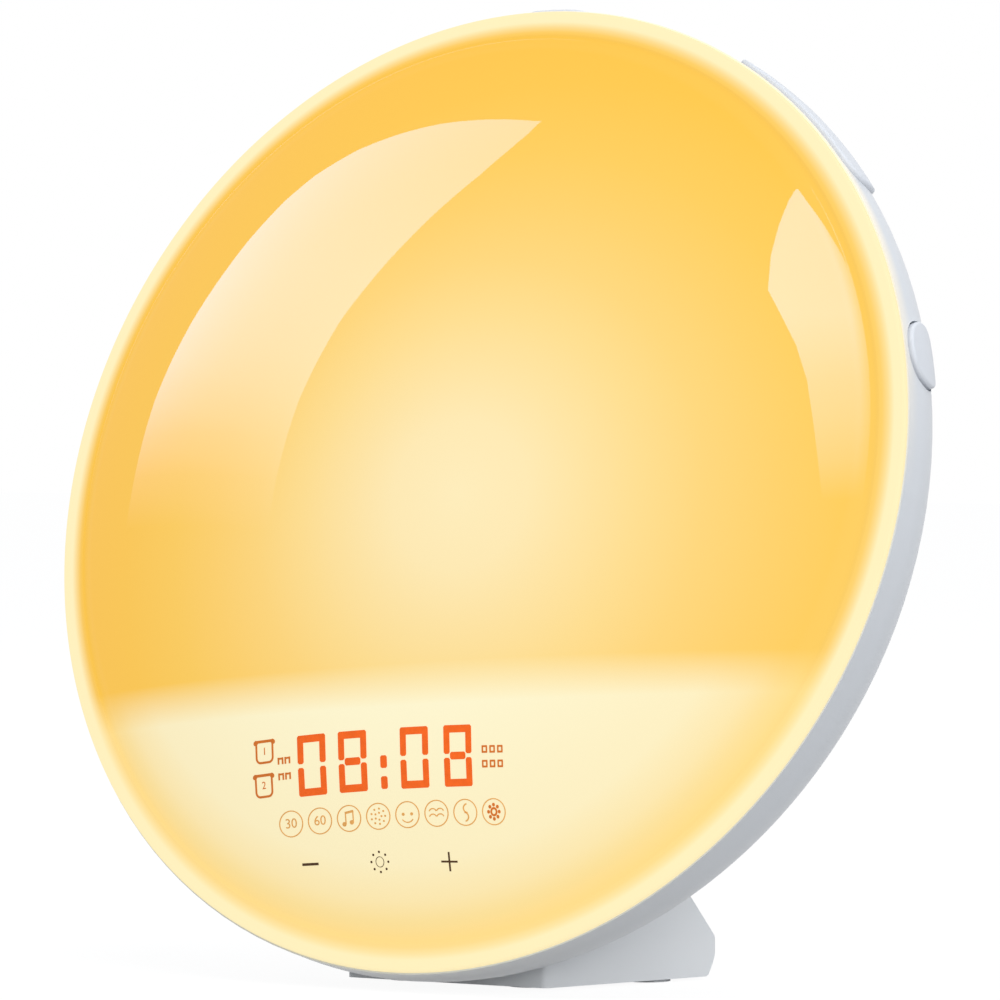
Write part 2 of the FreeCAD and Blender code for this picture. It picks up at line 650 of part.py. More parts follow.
def key_cap(name, angle):
    """A key: flange inside the shell, raised top that follows the rim, and its stems."""
    body = new_body(name)
    length = KEY_LENGTHS[name]
    flange = rim_sketch(body, angle, key_underside)
    pill(flange, key_level, length + 2 * size.flange_lap, size.key_width)
    feature("Pad", body, flange, size.key_depth)
    trim = sketch_on(body, "XZ_Plane")
    outline(trim, outside_profile(-(size.shell_wall + size.flange_gap)))
    feature("Groove", body, trim)
    top = rim_sketch(body, angle, key_underside)
    pill(top, key_level, length, size.key_width)
    feature("Pad", body, top, size.key_depth + size.key_raise)
    crown = sketch_on(body, "XZ_Plane")
    outline(crown, outside_profile(size.key_raise))
    feature("Groove", body, crown)
    fillet(body, size.key_edge, is_key_edge)
    stems = rim_sketch(body, angle, plunger_tip)
    for x in stem_places(name):
        circle(stems, x, key_level, size.plunger_radius)
    feature("Pad", body, stems, size.plunger_length)
    if name in ROCKER_KEYS:
        pivot_lug(body, angle)


def is_key_edge(edge):
    """The edge round a key's top, which lies further out than the shell's wall inside the key's opening."""
    inside = float(rim_radius - size.shell_wall)
    return all(math.hypot(corner.X, corner.Y) > inside for corner in edge.Vertexes)


def stem_places(name):
    if name in ROCKER_KEYS:
        return [side * size.rocker_switch_offset for side in (-1.0, 1.0)]
    return [0.0 * size.plunger_radius]


def pivot_lug(body, angle):
    lug = rim_sketch(body, angle, pivot_place - size.lug_width / 2)
    rectangle(lug, 0.0 * size.lug_width, key_level, size.lug_width, size.lug_width)
    feature("Pad", body, lug, key_underside - pivot_place + size.lug_width / 2)
    bore = sketch_on(body, "XY_Plane", key_level - size.lug_width)
    circle(bore, pivot_place * cosine(angle), pivot_place * sine(angle),
           size.pivot_radius + size.pivot_clearance)
    feature("Pocket", body, bore, 2 * size.lug_width, backwards=True)


def rocker_brackets():
    body = new_body("rocker_brackets")
    inner = size.lug_width / 2 + size.ear_gap
    height = 2 * (inner + size.ear_thickness)
    ear_top = pivot_place + size.pivot_radius + size.pivot_clearance - key_board_face
    for angle in ROCKER_KEYS.values():
        base = rim_sketch(body, angle, key_board_face)
        rectangle(base, 0.0 * inner, key_level, size.ear_width, height)
        feature("Pad", body, base, ear_top)
        gap = rim_sketch(body, angle, bracket_face)
        rectangle(gap, 0.0 * inner, key_level, 2 * size.ear_width, 2 * inner)
        feature("Pocket", body, gap, size.key_depth, backwards=True)
        hole = rim_sketch(body, angle, key_board_face)
        circle(hole, 0.0 * inner, key_level, size.screw_radius)
        feature("Pocket", body, hole, size.ear_thickness, backwards=True)
        bore = sketch_on(body, "XY_Plane", key_level - height)
        circle(bore, pivot_place * cosine(angle), pivot_place * sine(angle), size.pivot_radius)
        feature("Pocket", body, bore, 2 * height, backwards=True)


def rocker_pins():
    body = new_body("rocker_pins")
    half = size.lug_width / 2 + size.ear_gap + size.ear_thickness
    sketch = sketch_on(body, "XY_Plane", key_level - half)
    for angle in ROCKER_KEYS.values():
        circle(sketch, pivot_place * cosine(angle), pivot_place * sine(angle), size.pivot_radius)
    feature("Pad", body, sketch, 2 * half)


def key_boards(label, names, length):
    body = new_body(label)
    for name in names:
        board = rim_sketch(body, ALL_KEYS[name], key_board_back)
        rectangle(board, 0.0 * length, key_level, length, size.key_board_height)
        for x in key_screw_places(name):
            circle(board, x, key_level, size.screw_radius)
        feature("Pad", body, board, size.board_thickness)


def tact_switches():
    body = new_body("tact_switches")
    for name, angle in ALL_KEYS.items():
        for x in stem_places(name):
            block = rim_sketch(body, angle, key_board_face)
            rectangle(block, x, key_level, size.switch_width, size.switch_width)
            feature("Pad", body, block, size.switch_height)


def switch_buttons():
    body = new_body("switch_buttons")
    for name, angle in ALL_KEYS.items():
        button = rim_sketch(body, angle, switch_top)
        for x in stem_places(name):
            circle(button, x, key_level, size.switch_button_radius)
        feature("Pad", body, button, size.switch_button_height)


def key_board_screws():
    body = new_body("key_board_screws")
    for name, angle in ALL_KEYS.items():
        seat = bracket_face if name in ROCKER_KEYS else key_board_face
        shank = rim_sketch(body, angle, key_board_back - size.board_rib)
        for x in key_screw_places(name):
            circle(shank, x, key_level, size.screw_radius)
        feature("Pad", body, shank, seat - key_board_back + size.board_rib)
        head = rim_sketch(body, angle, seat)
        for x in key_screw_places(name):
            circle(head, x, key_level, size.screw_head_radius)
        feature("Pad", body, head, size.screw_head_height)


# Light and display

def light_board():
    body = new_body("light_board")
    sketch = sketch_on(body, "XY_Plane", -size.tray_depth)
    radius = size.light_board_radius
    drop = size.partition_drop - size.display_gap
    half = root(radius * radius - drop * drop)
    outline(sketch, [(half, -drop, radius), (0.0, radius, radius), (-half, -drop)])
    for x, y in light_pin_places:
        circle(sketch, x, y, size.pin_radius)
    feature("Pad", body, sketch, size.board_thickness)


def led_places():
    """Two arcs of lights above the partition."""
    places = []
    for radius, count, low in ((size.outer_led_radius, 13, -15.0), (size.inner_led_radius, 7, -12.0)):
        step = (180.0 - 2 * low) / (count - 1)
        for n in range(count):
            angle = math.radians(low + n * step)
            places.append((radius * math.cos(angle), radius * math.sin(angle)))
    return places


def light_leds():
    body = new_body("light_leds")
    sketch = sketch_on(body, "XY_Plane", size.board_thickness - size.tray_depth)
    for x, y in led_places():
        rectangle(sketch, x, y, size.led_width, size.led_width)
    feature("Pad", body, sketch, size.led_height)


def light_partition():
    """A wall between the lamp's light and the display, cut to the dome's inside."""
    body = new_body("light_partition")
    sketch = sketch_on(body, "XZ_Plane", size.partition_drop)
    far = size.partition_drop + size.partition_wall
    reach = inner_sphere - size.partition_gap
    arc = root(reach * reach - far * far)
    half = root(size.tray_radius * size.tray_radius - far * far) - size.partition_gap
    top = sphere_level + root(arc * arc - half * half)
    outline(sketch, [
        (-half, -size.tray_depth), (half, -size.tray_depth), (half, top, arc), (-half, top)])
    feature("Pad", body, sketch, size.partition_wall)


def display_board():
    body = new_body("display_board")
    sketch = sketch_on(body, "XY_Plane", -size.ring_thickness)
    half = size.display_half_width
    radius = size.display_radius
    side = -root(radius * radius - half * half)
    outline(sketch, [
        (-half, display_top), (-half, side, radius), (half, side), (half, display_top)])
    feature("Pad", body, sketch, size.board_thickness)


def display_module():
    body = new_body("display_module")
    sketch = sketch_on(body, "XY_Plane", display_face)
    rectangle(sketch, 0.0 * size.module_width, -size.module_drop, size.module_width, size.module_height)
    feature("Pad", body, sketch, size.module_depth)


def symbol_guide():
    """A black block of light guides, one hole for each small light behind a symbol."""
    body = new_body("symbol_guide")
    sketch = sketch_on(body, "XY_Plane", display_face)
    rectangle(sketch, 0.0 * size.guide_width, -size.guide_drop, size.guide_width, size.guide_height)
    for x in symbol_places():
        circle(sketch, x, -size.guide_drop, size.guide_pitch / 2 - size.display_gap / 2)
    feature("Pad", body, sketch, size.guide_depth)


def symbol_places():
    return [(n - 3.5) * size.guide_pitch for n in range(8)]


def symbol_leds():
    body = new_body("symbol_leds")
    sketch = sketch_on(body, "XY_Plane", display_face)
    for x in symbol_places():
        rectangle(sketch, x, -size.guide_drop, size.led_width / 2, size.led_width / 2)
    feature("Pad", body, sketch, size.led_height / 2)


def touch_pads():
    body = new_body("touch_pads")
    sketch = sketch_on(body, "XY_Plane", display_face)
    for side in (-1.0, 0.0, 1.0):
        circle(sketch, side * size.touch_spread, -size.touch_drop, size.touch_radius)
    feature("Pad", body, sketch, size.touch_height)


# Electronics behind the tray

def main_board():
    body = new_body("main_board")
    sketch = sketch_on(body, "XY_Plane", board_back)
    middle = -((size.main_board_top + size.main_board_bottom) / 2)
    rectangle(sketch, 0.0 * middle, middle, 2 * size.main_board_half_width,
              size.main_board_bottom - size.main_board_top)
    for x, y in board_post_places:
        circle(sketch, x, y, size.screw_radius)
    feature("Pad", body, sketch, size.board_thickness)


def board_blocks(name, places, width, height, thickness):
    """Flat square-cornered packages on the front of the main board."""
    body = new_body(name)
    sketch = sketch_on(body, "XY_Plane", -size.main_board_level)
    for x, y in places:
        rectangle(sketch, x * size.main_board_half_width, y * size.main_board_bottom, width, height)
    feature("Pad", body, sketch, thickness)


def capacitors():
    body = new_body("capacitors")
    sketch = sketch_on(body, "XY_Plane", board_back)
    for x in (-0.05, 0.12):
        circle(sketch, x * size.main_board_half_width, -size.main_board_bottom + 2 * size.post_inset,
               size.post_radius)
    feature("Pad", body, sketch, size.post_inset + size.post_radius, backwards=True)


def header_pins():
    """Pins from the main board up to the display board and the light board."""
    body = new_body("header_pins")
    sketch = sketch_on(body, "XY_Plane", -size.main_board_level)
    for x, y in header_places:
        circle(sketch, x, y, size.pin_radius)
    feature("Pad", body, sketch, size.main_board_level - size.ring_thickness)
    short = sketch_on(body, "XY_Plane", -size.main_board_level)
    for x, y in light_pin_places:
        circle(short, x, y, size.pin_radius)
    feature("Pad", body, short, size.main_board_level - size.tray_depth + size.board_thickness)


def screws(name, places, seat, length, under=False):
    """Screws along the head's axis. The head is behind its seat, or in front of it."""
    body = new_body(name)
    shank = sketch_on(body, "XY_Plane", seat)
    for x, y in places:
        circle(shank, x, y, size.screw_radius)
    feature("Pad", body, shank, length, backwards=not under)
    head = sketch_on(body, "XY_Plane", seat)
    for x, y in places:
        circle(head, x, y, size.screw_head_radius)
    feature("Pad", body, head, size.screw_head_height, backwards=under)


# Speaker

gasket_front = inner_back + size.gasket_height
basket_front = gasket_front + size.speaker_plate
magnet_back = gasket_front + size.speaker_depth


def speaker_revolve(name, points):
    """A round piece about the speaker's own axis, drawn as radius and level."""
    body = new_body(name)
    sketch = sketch_on(body, "YZ_Plane")
    document.recompute()
    outline(sketch, [(size.speaker_rise + point[0], *point[1:]) for point in points])
    made = body.newObject("PartDesign::Revolution", f"{name}_revolution")
    axis = sketch.addGeometry(Part.LineSegment(
        FreeCAD.Vector(float(size.speaker_rise), 0, 0), FreeCAD.Vector(float(size.speaker_rise), 10, 0)), True)
    constrain(sketch, "DistanceX", (-1, 1, axis, 1), size.speaker_rise)
    sketch.addConstraint(Sketcher.Constraint("Vertical", axis))
    made.Profile = (sketch, [""])
    made.ReferenceAxis = (sketch, ["Axis0"])
    made.Angle = 360
    return body


def speaker_gasket():
    inner = size.speaker_radius - size.speaker_rim
    speaker_revolve("speaker_gasket", [
        (inner, inner_back), (size.speaker_radius, inner_back), (size.speaker_radius, gasket_front),
        (inner, gasket_front)])


def speaker_basket():
    mouth = size.speaker_radius - size.speaker_rim
    sheet_metal = size.speaker_plate
    body = speaker_revolve("speaker_basket", [
        (size.magnet_radius / 2, magnet_back - sheet_metal), (size.magnet_radius, magnet_back - sheet_metal),
        (mouth, gasket_front), (size.speaker_radius, gasket_front), (size.speaker_radius, basket_front),
        (mouth + sheet_metal, basket_front), (size.magnet_radius + sheet_metal, magnet_back),
        (size.magnet_radius / 2, magnet_back)])
    tab = sketch_on(body, "XY_Plane", gasket_front)
    edge = size.speaker_rise - size.speaker_radius
    rectangle(tab, 0.0 * edge, edge + size.speaker_rim / 4, 4 * size.wire_spread, size.speaker_rim)
    feature("Pad", body, tab, 4 * size.wire_spread / 3)


def speaker_cone():
    """The paper cone and its dust cap, one thin piece inside the basket."""
    mouth = size.speaker_radius - size.speaker_rim - size.speaker_plate
    throat = size.magnet_radius / 2
    paper = size.speaker_plate / 2
    rise = size.speaker_depth - 3 * size.speaker_plate
    speaker_revolve("speaker_cone", [
        (0.0 * mouth, gasket_front + rise / 2), (throat, gasket_front + rise),
        (mouth, gasket_front + paper), (mouth + size.speaker_plate, gasket_front),
        (mouth + size.speaker_plate / 2, gasket_front), (throat, gasket_front + rise - paper),
        (0.0 * mouth, gasket_front + rise / 2 - paper)])


def speaker_magnet():
    speaker_revolve("speaker_magnet", [
        (0.0 * size.magnet_radius, magnet_back), (size.magnet_radius, magnet_back),
        (size.magnet_radius, magnet_back + size.magnet_height),
        (0.0 * size.magnet_radius, magnet_back + size.magnet_height)])


def speaker_wires():
    """Two wires from the speaker's tab, back along the shell and up to the main board."""
    body = new_body("speaker_wires")
    start = size.speaker_rise - size.speaker_radius - size.speaker_rim / 4
    level = gasket_front + 2 * size.wire_spread / 3
    turn_y = -(size.main_board_top + size.post_inset)
    for side in (-1.0, 1.0):
        path = sketch_on(body, "YZ_Plane", side * size.wire_spread)
        bend = size.wire_bend
        line_arc_line(path, (start, level), (turn_y, level), (turn_y, board_back), bend)
        section = sketch_on(body, "XZ_Plane", -start)
        circle(section, side * size.wire_spread, level, size.wire_radius)
        pipe = body.newObject("PartDesign::AdditivePipe", "wire_pipe")
        pipe.Profile = (section, [""])
        pipe.Spine = (path, [])


def line_arc_line(sketch, start, corner, end, bend):
    """A wire's route: back along y, round a bend and straight on to its end."""
    before = (corner[0] + bend, corner[1])
    after = (corner[0], corner[1] + bend)
    middle = (corner[0] + bend, corner[1] + bend)
    as_vector = [FreeCAD.Vector(float(x), float(y), 0) for x, y in (start, before, middle, after, end)]
    sketch.addGeometry(Part.LineSegment(as_vector[0], as_vector[1]))
    ring = Part.Circle(as_vector[2], FreeCAD.Vector(0, 0, 1), float(bend))
    sketch.addGeometry(Part.ArcOfCircle(ring, math.pi, 1.5 * math.pi))
    sketch.addGeometry(Part.LineSegment(as_vector[3], as_vector[4]))
    for places, point in (((0, 1), start), ((0, 2), before), ((2, 1), after), ((2, 2), end)):
        constrain(sketch, "DistanceX", (-1, 1) + places, point[0])
        constrain(sketch, "DistanceY", (-1, 1) + places, point[1])
    constrain(sketch, "Radius", (1,), bend)
    sketch.addConstraint(Sketcher.Constraint("Coincident", 0, 2, 1, 2))
    sketch.addConstraint(Sketcher.Constraint("Coincident", 1, 1, 2, 1))


# Power, battery and aerial

def power_socket():
    body = new_body("power_socket")
    x, y = size.jack_side, -size.jack_drop
    block = sketch_on(body, "XY_Plane", board_back)
    rectangle(block, x, y, size.jack_width, size.jack_width)
    feature("Pad", body, block, board_back - inner_back - size.nose_gap, backwards=True)
    nose = sketch_on(body, "XY_Plane", back_level + size.nose_gap)
    circle(nose, x, y, size.jack_nose_radius)
    feature("Pad", body, nose, size.shell_wall + size.nose_gap)
    bore = sketch_on(body, "XY_Plane", back_level + size.nose_gap)
    circle(bore, x, y, size.jack_bore_radius)
    feature("Pocket", body, bore, size.jack_bore_depth, backwards=True)


def socket_pin():
    body = new_body("socket_pin")
    sketch = sketch_on(body, "XY_Plane", back_level + size.nose_gap + size.jack_nose_length)
    circle(sketch, size.jack_side, -size.jack_drop, size.jack_pin_radius)
    feature("Pad", body, sketch, size.jack_bore_depth - size.jack_nose_length)


def aerial_grommet():
    body = new_body("aerial_grommet")
    rings = [(back_level - size.grommet_lip, size.grommet_lip, size.grommet_lip),
             (back_level, 0.0, inner_back - back_level),
             (inner_back, size.grommet_lip, size.grommet_lip)]
    for level, lap, height in rings:
        sketch = sketch_on(body, "XY_Plane", level)
        circle(sketch, size.grommet_side, size.grommet_rise, size.grommet_radius + lap)
        circle(sketch, size.grommet_side, size.grommet_rise, size.grommet_bore)
        feature("Pad", body, sketch, height)


hub_top = inner_back + size.door_bar_gap + size.door_bar_thickness
cell_bottom = hub_top + size.cell_gap
cell_top = cell_bottom + size.cell_thickness


def battery_door():
    """A round door that a coin turns: its bar locks behind the shell's wall."""
    body = new_body("battery_door")
    x, y = -size.door_side, -size.door_drop
    plate = sketch_on(body, "XY_Plane", back_level)
    circle(plate, x, y, size.door_radius)
    feature("Pad", body, plate, size.door_thickness)
    hub = sketch_on(body, "XY_Plane", back_level + size.door_thickness)
    circle(hub, x, y, size.door_hub_radius)
    feature("Pad", body, hub, hub_top - back_level - size.door_thickness)
    bar = sketch_on(body, "XY_Plane", inner_back + size.door_bar_gap)
    turned_bar(bar, 0.0 * size.door_turn, size.door_bar_length, size.door_bar_width)
    feature("Pad", body, bar, size.door_bar_thickness)
    slot = sketch_on(body, "XY_Plane", back_level)
    turned_bar(slot, 0.0 * size.door_turn, size.coin_slot_length, size.coin_slot_width)
    feature("Pocket", body, slot, size.coin_slot_depth, backwards=True)


def battery_holder():
    body = new_body("battery_holder")
    x, y = -size.door_side, -size.door_drop
    outer = size.cell_radius + size.holder_wall
    block = sketch_on(body, "XY_Plane", cell_bottom + size.cell_gap)
    circle(block, x, y, outer)
    feature("Pad", body, block, board_back - cell_bottom - size.cell_gap)
    pocket = sketch_on(body, "XY_Plane", cell_bottom + size.cell_gap)
    circle(pocket, x, y, size.cell_radius + size.door_gap)
    feature("Pocket", body, pocket, cell_top - cell_bottom - size.cell_gap, backwards=True)
    seat = sketch_on(body, "XY_Plane", cell_top)
    circle(seat, x, y, size.contact_radius)
    feature("Pocket", body, seat, size.contact_thickness, backwards=True)


def disc(name, x, y, level, radius, thickness):
    body = new_body(name)
    sketch = sketch_on(body, "XY_Plane", level)
    circle(sketch, x, y, radius)
    feature("Pad", body, sketch, thickness)


# Foot, upright on the table

foot_level = size.pad_proud
foot_y = centre_y + size.foot_back
foot_taper = (size.foot_back_half - size.foot_front_half) / (size.foot_back + size.foot_heel_out + size.foot_front)


def foot_block():
    """The foot's wedge before the shell is taken out of it."""
    body = new_body("foot_block", in_head=False, kept=False)
    front = centre_y - size.foot_front
    heel = foot_y + size.foot_heel_out
    plan = sketch_on(body, "XY_Plane", foot_level)
    outline(plan, [
        (-size.foot_front_half, front), (size.foot_front_half, front),
        (size.foot_back_half, heel), (-size.foot_back_half, heel)])
    feature("Pad", body, plan, size.foot_height)
    fillet(body, size.foot_corner, is_upright)
    behind = sketch_on(body, "YZ_Plane", -(2 * size.foot_back_half))
    clear = 2 * size.foot_slope_run
    slope_top = heel - size.foot_slope_run
    outline(behind, [
        (foot_y, foot_level), (heel, foot_level + size.foot_heel_height),
        (slope_top, foot_level + size.foot_height), (slope_top, foot_level + 2 * size.foot_height),
        (heel + clear, foot_level + 2 * size.foot_height), (heel + clear, foot_level - clear),
        (foot_y, foot_level - clear)])
    feature("Pocket", body, behind, 4 * size.foot_back_half, backwards=True)
    fillet(body, size.foot_edge, is_rear_crosswise)
    recess = sketch_on(body, "XY_Plane", foot_level)
    for x, y in pad_places():
        circle(recess, x, y, size.pad_radius)
    feature("Pocket", body, recess, size.pad_recess, backwards=True)
    return body


def is_upright(edge):
    return isinstance(edge.Curve, Part.Line) and abs(edge.Curve.Direction.z) > 0.99


def is_rear_crosswise(edge):
    """The heel and the rear edge under it, which run from side to side."""
    middle = edge.CenterOfMass
    crosswise = isinstance(edge.Curve, Part.Line) and abs(edge.Curve.Direction.x) > 0.99
    return crosswise and middle.y > float(foot_y) - 0.1 and middle.z < float(foot_level + size.foot_heel_height) + 0.1


def pad_places():
    front = centre_y - size.foot_front + size.pad_inset
    back = foot_y - size.pad_inset
    return [(side * (half - size.pad_inset), y) for side in (-1.0, 1.0)
            for y, half in ((front, size.foot_front_half), (back, size.foot_back_half))]


def foot_cutter():
    """The shell's outside and the foot's screws, which the foot fits."""
    body = new_body("foot_cutter", kept=False)
    sketch = sketch_on(body, "XZ_Plane")
    outer = back_profile(0.0 * size.shell_wall)
    outline(sketch, [(0.0, 0.0), (rim_radius, 0.0), *outer, (0.0, back_level)])
    feature("Revolution", body, sketch)
    shanks = sketch_on(body, "XY_Plane", -size.foot_seat_level)
    for x, y in foot_screw_places:
        circle(shanks, x, y, size.screw_radius)
    feature("Pad", body, shanks, size.foot_screw_length, backwards=True)
    return body


def stand_foot():
    foot = document.addObject("Part::Cut", "stand_foot")
    foot.Base = foot_block()
    foot.Tool = foot_cutter()
    foot.Label = "stand_foot"
    sub_parts.append(foot)


def rubber_feet():
    body = new_body("rubber_feet", in_head=False)
    sketch = sketch_on(body, "XY_Plane")
    for x, y in pad_places():
        circle(sketch, x, y, size.pad_radius)
    feature("Pad", body, sketch, size.pad_proud + size.pad_recess)


def build():
    front_diffuser()
    light_tray()
    rear_shell()
    for name, angle in ALL_KEYS.items():
        key_cap(name, angle)
    rocker_brackets()
    rocker_pins()
    key_boards("single_key_boards", SINGLE_KEYS, size.single_board_length)
    key_boards("rocker_boards", ROCKER_KEYS, size.rocker_board_length)
    tact_switches()
    switch_buttons()
    key_board_screws()
    light_board()
    light_leds()
    light_partition()
    display_board()
    display_module()
    symbol_guide()
    symbol_leds()
    touch_pads()
    main_board()
    board_blocks("clock_chip", [(0.0, -0.5)], size.clock_chip_side, size.clock_chip_side,
                 size.clock_chip_height)
    board_blocks("radio_can", [(-0.62, -0.62)], size.radio_can_length, size.radio_can_width,
                 size.radio_can_height)
    board_blocks("amplifier_chips", [(0.4, -0.78), (0.4, -0.58), (0.66, -0.68)],
                 size.amplifier_length, size.amplifier_width, size.amplifier_height)
    capacitors()
    header_pins()
    screws("main_board_screws", board_post_places, -size.main_board_level,
           size.board_thickness + size.main_board_screw_depth)
    screws("case_screws", case_screw_places, back_level + size.shell_wall,
           tray_floor_back - back_level - size.shell_wall - size.screw_clearance, under=True)
    screws("foot_screws", foot_screw_places, -size.foot_seat_level, size.foot_screw_length)
    speaker_gasket()
    speaker_basket()
    speaker_cone()
    speaker_magnet()
    speaker_wires()
    power_socket()
    socket_pin()
    aerial_grommet()
    battery_door()
    battery_holder()
    disc("coin_cell", -size.door_side, -size.door_drop, cell_bottom, size.cell_radius, size.cell_thickness)
    disc("cell_contact", -size.door_side, -size.door_drop, cell_top, size.contact_radius,
         size.contact_thickness)
    stand_foot()
    rubber_feet()


def check():
    """Stop unless every object and every sub-part is sound, and every cut has cut."""
    for thing in document.Objects:
        if any(word in ("Invalid", "Error") for word in thing.State):
            raise ValueError(f"{thing.Label} did not compute: {thing.State}")
        if thing.TypeId in ("PartDesign::Pocket", "PartDesign::Groove"):
            if thing.Shape.Volume > thing.BaseFeature.Shape.Volume - 1e-3:
                raise ValueError(f"{thing.Label} cuts nothing")
    for thing in sub_parts:
        if thing.Shape.isNull() or not thing.Shape.isValid() or not thing.Shape.Solids:
            raise ValueError(f"{thing.Label} is not a sound solid")


build()
document.recompute()
check()
os.makedirs("parts", exist_ok=True)
for thing in sub_parts:
    thing.Shape.exportStep(f"parts/{thing.Label}.step")
    solids = len(thing.Shape.Solids)
    print(f"{thing.Label}: {solids} solid(s), {thing.Shape.Volume / 1000:.2f} cm3")
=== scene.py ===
import json
import math

import bmesh
import bpy
from mathutils import Matrix, Vector


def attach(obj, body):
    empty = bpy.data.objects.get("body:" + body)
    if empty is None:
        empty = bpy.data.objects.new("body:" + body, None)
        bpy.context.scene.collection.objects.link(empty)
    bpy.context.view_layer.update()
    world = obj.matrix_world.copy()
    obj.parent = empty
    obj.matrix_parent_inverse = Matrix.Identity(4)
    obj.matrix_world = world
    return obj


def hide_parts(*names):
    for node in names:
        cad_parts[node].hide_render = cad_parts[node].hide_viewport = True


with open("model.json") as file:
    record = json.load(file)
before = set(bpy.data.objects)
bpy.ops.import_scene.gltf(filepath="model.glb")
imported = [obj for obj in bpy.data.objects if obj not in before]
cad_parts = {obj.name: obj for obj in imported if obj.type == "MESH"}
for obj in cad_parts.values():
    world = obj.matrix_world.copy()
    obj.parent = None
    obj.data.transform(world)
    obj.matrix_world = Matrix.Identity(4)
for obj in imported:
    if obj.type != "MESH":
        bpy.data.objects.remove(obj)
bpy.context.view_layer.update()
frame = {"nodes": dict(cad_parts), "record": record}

# Sunrise alarm clock, dressed for its picture. Metres; +X to the right, +Y backwards, +Z up.
# Face pieces are drawn flat in millimetres, x to the right and y up from the ring's middle,
# and then laid on the dome.

MM = 0.001
FACE_TILT = math.radians(16.4)
RING_CENTRE = Vector((0.0, -0.006463, 0.085197))
RING_RADIUS = 85.0
RING_WIDTH = 3.4
RING_THICKNESS = 1.0
RING_EDGE = 0.45
RING_BLEND = 5.0
DOME_HEIGHT = 23.5
DOME_WALL = 2.2
DOME_REACH = RING_RADIUS - RING_WIDTH
SPHERE_RADIUS = (DOME_REACH ** 2 + DOME_HEIGHT ** 2) / (2 * DOME_HEIGHT)
SPHERE_LEVEL = DOME_HEIGHT - SPHERE_RADIUS
ROUND_STEPS = 288

FACE_RIGHT = Vector((1, 0, 0))
FACE_UP = Vector((0, math.sin(FACE_TILT), math.cos(FACE_TILT)))
FACE_OUT = Vector((0, -math.cos(FACE_TILT), math.sin(FACE_TILT)))
FACE_TO_ROW = Matrix.Translation(RING_CENTRE) @ Matrix(
    (FACE_RIGHT, FACE_UP, FACE_OUT)).transposed().to_4x4() @ Matrix.Scale(MM, 4)

# The camera: its turn and rise round the clock, its distance, and where it looks beside the ring's middle
CAMERA_TURN = math.radians(33.86)
CAMERA_RISE = math.radians(1.0)
CAMERA_DISTANCE = 1.2
CAMERA_ASIDE = 0.00528
CAMERA_ABOVE = -0.00277
PHOTO_SIZE = 1000
SENSOR = 36.0
FOCAL_PIXELS = 7036.8

# Rows of the display, as they lie on the dome. They rise a little to the right and draw together there.
DISPLAY_RISE = math.radians(4.7)
TOUCH_RISE = math.radians(2.8)
DISPLAY_MIDDLE = 1.5
DISPLAY_CROWDING = 0.003
CROWDING_MIDDLE = 3.4
DISPLAY_LIFT = 0.09
DISPLAY_SHEET = 0.06
DIGIT_HEIGHT = 9.7
DIGIT_WIDTH = 5.65
STROKE = 1.2
STROKE_GAP = 0.3
STROKE_POINT = 0.22
DIGIT_MIDDLES = (-12.3, -4.1, 8.3, 17.1)
DIGIT_LEVEL = -51.9
DIGITS = ("0", "8", "0", "8")
COLON_MIDDLE = 2.1
COLON_LEVELS = (-52.3, -55.6)
COLON_WIDTH = 1.3
COLON_HEIGHT = 2.0
SEGMENTS_ON = {"0": "abcdef", "8": "abcdefg"}
ALARM_PLACES = ((-21.8, -48.8), (-22.2, -54.2))
ALARM_LINE = 0.36
LEFT_MARK_PLACES = (-18.6, -17.2)
LEFT_MARK_LEVELS = (-50.7, -53.2)
RIGHT_MARK_PLACES = (22.6, 24.2, 25.8)
RIGHT_MARK_LEVELS = (-51.0, -53.3)
MARK_LINE = 0.3
SYMBOL_LEVEL = -60.8
SYMBOL_FIRST = -17.2
SYMBOL_PITCH = 5.885
SYMBOL_RADIUS = 2.35
SYMBOL_SQUASH = 0.86
SYMBOL_LINE = 0.2
NUMERAL_HEIGHT = 2.5
TOUCH_LEVEL = -67.9
TOUCH_MIDDLE = 0.0
TOUCH_SPREAD = 14.05
TOUCH_LENGTH = 3.3


# Node helpers for the materials

def new_material(name):
    material = bpy.data.materials.new(name)
    material.use_nodes = True
    tree = material.node_tree
    shader = tree.nodes["Principled BSDF"]
    return material, tree, shader


def add_node(tree, kind, **settings):
    node = tree.nodes.new(kind)
    for key, value in settings.items():
        setattr(node, key, value)
    return node


def place_pattern(tree, scale, turn=(0, 0, 0)):
    """Object coordinates, turned and scaled, as the start of a pattern."""
    coordinates = add_node(tree, "ShaderNodeTexCoord")
    mapping = add_node(tree, "ShaderNodeMapping")
    mapping.inputs["Rotation"].default_value = turn
    mapping.inputs["Scale"].default_value = scale
    tree.links.new(coordinates.outputs["Object"], mapping.inputs["Vector"])
    return mapping.outputs["Vector"]


def noise(tree, vector, scale, detail=2.0, roughness=0.5):
    node = add_node(tree, "ShaderNodeTexNoise")
    node.inputs["Scale"].default_value = scale
    node.inputs["Detail"].default_value = detail
    node.inputs["Roughness"].default_value = roughness
    tree.links.new(vector, node.inputs["Vector"])
    return node.outputs["Fac"]


def ramp(tree, fac, stops, interpolation="LINEAR"):
    node = add_node(tree, "ShaderNodeValToRGB")
    node.color_ramp.interpolation = interpolation
    elements = node.color_ramp.elements
    for index, (place, colour) in enumerate(stops):
        element = elements[index] if index < 2 else elements.new(place)
        element.position = place
        element.color = (*colour, 1.0)
    tree.links.new(fac, node.inputs["Fac"])
    return node.outputs["Color"]


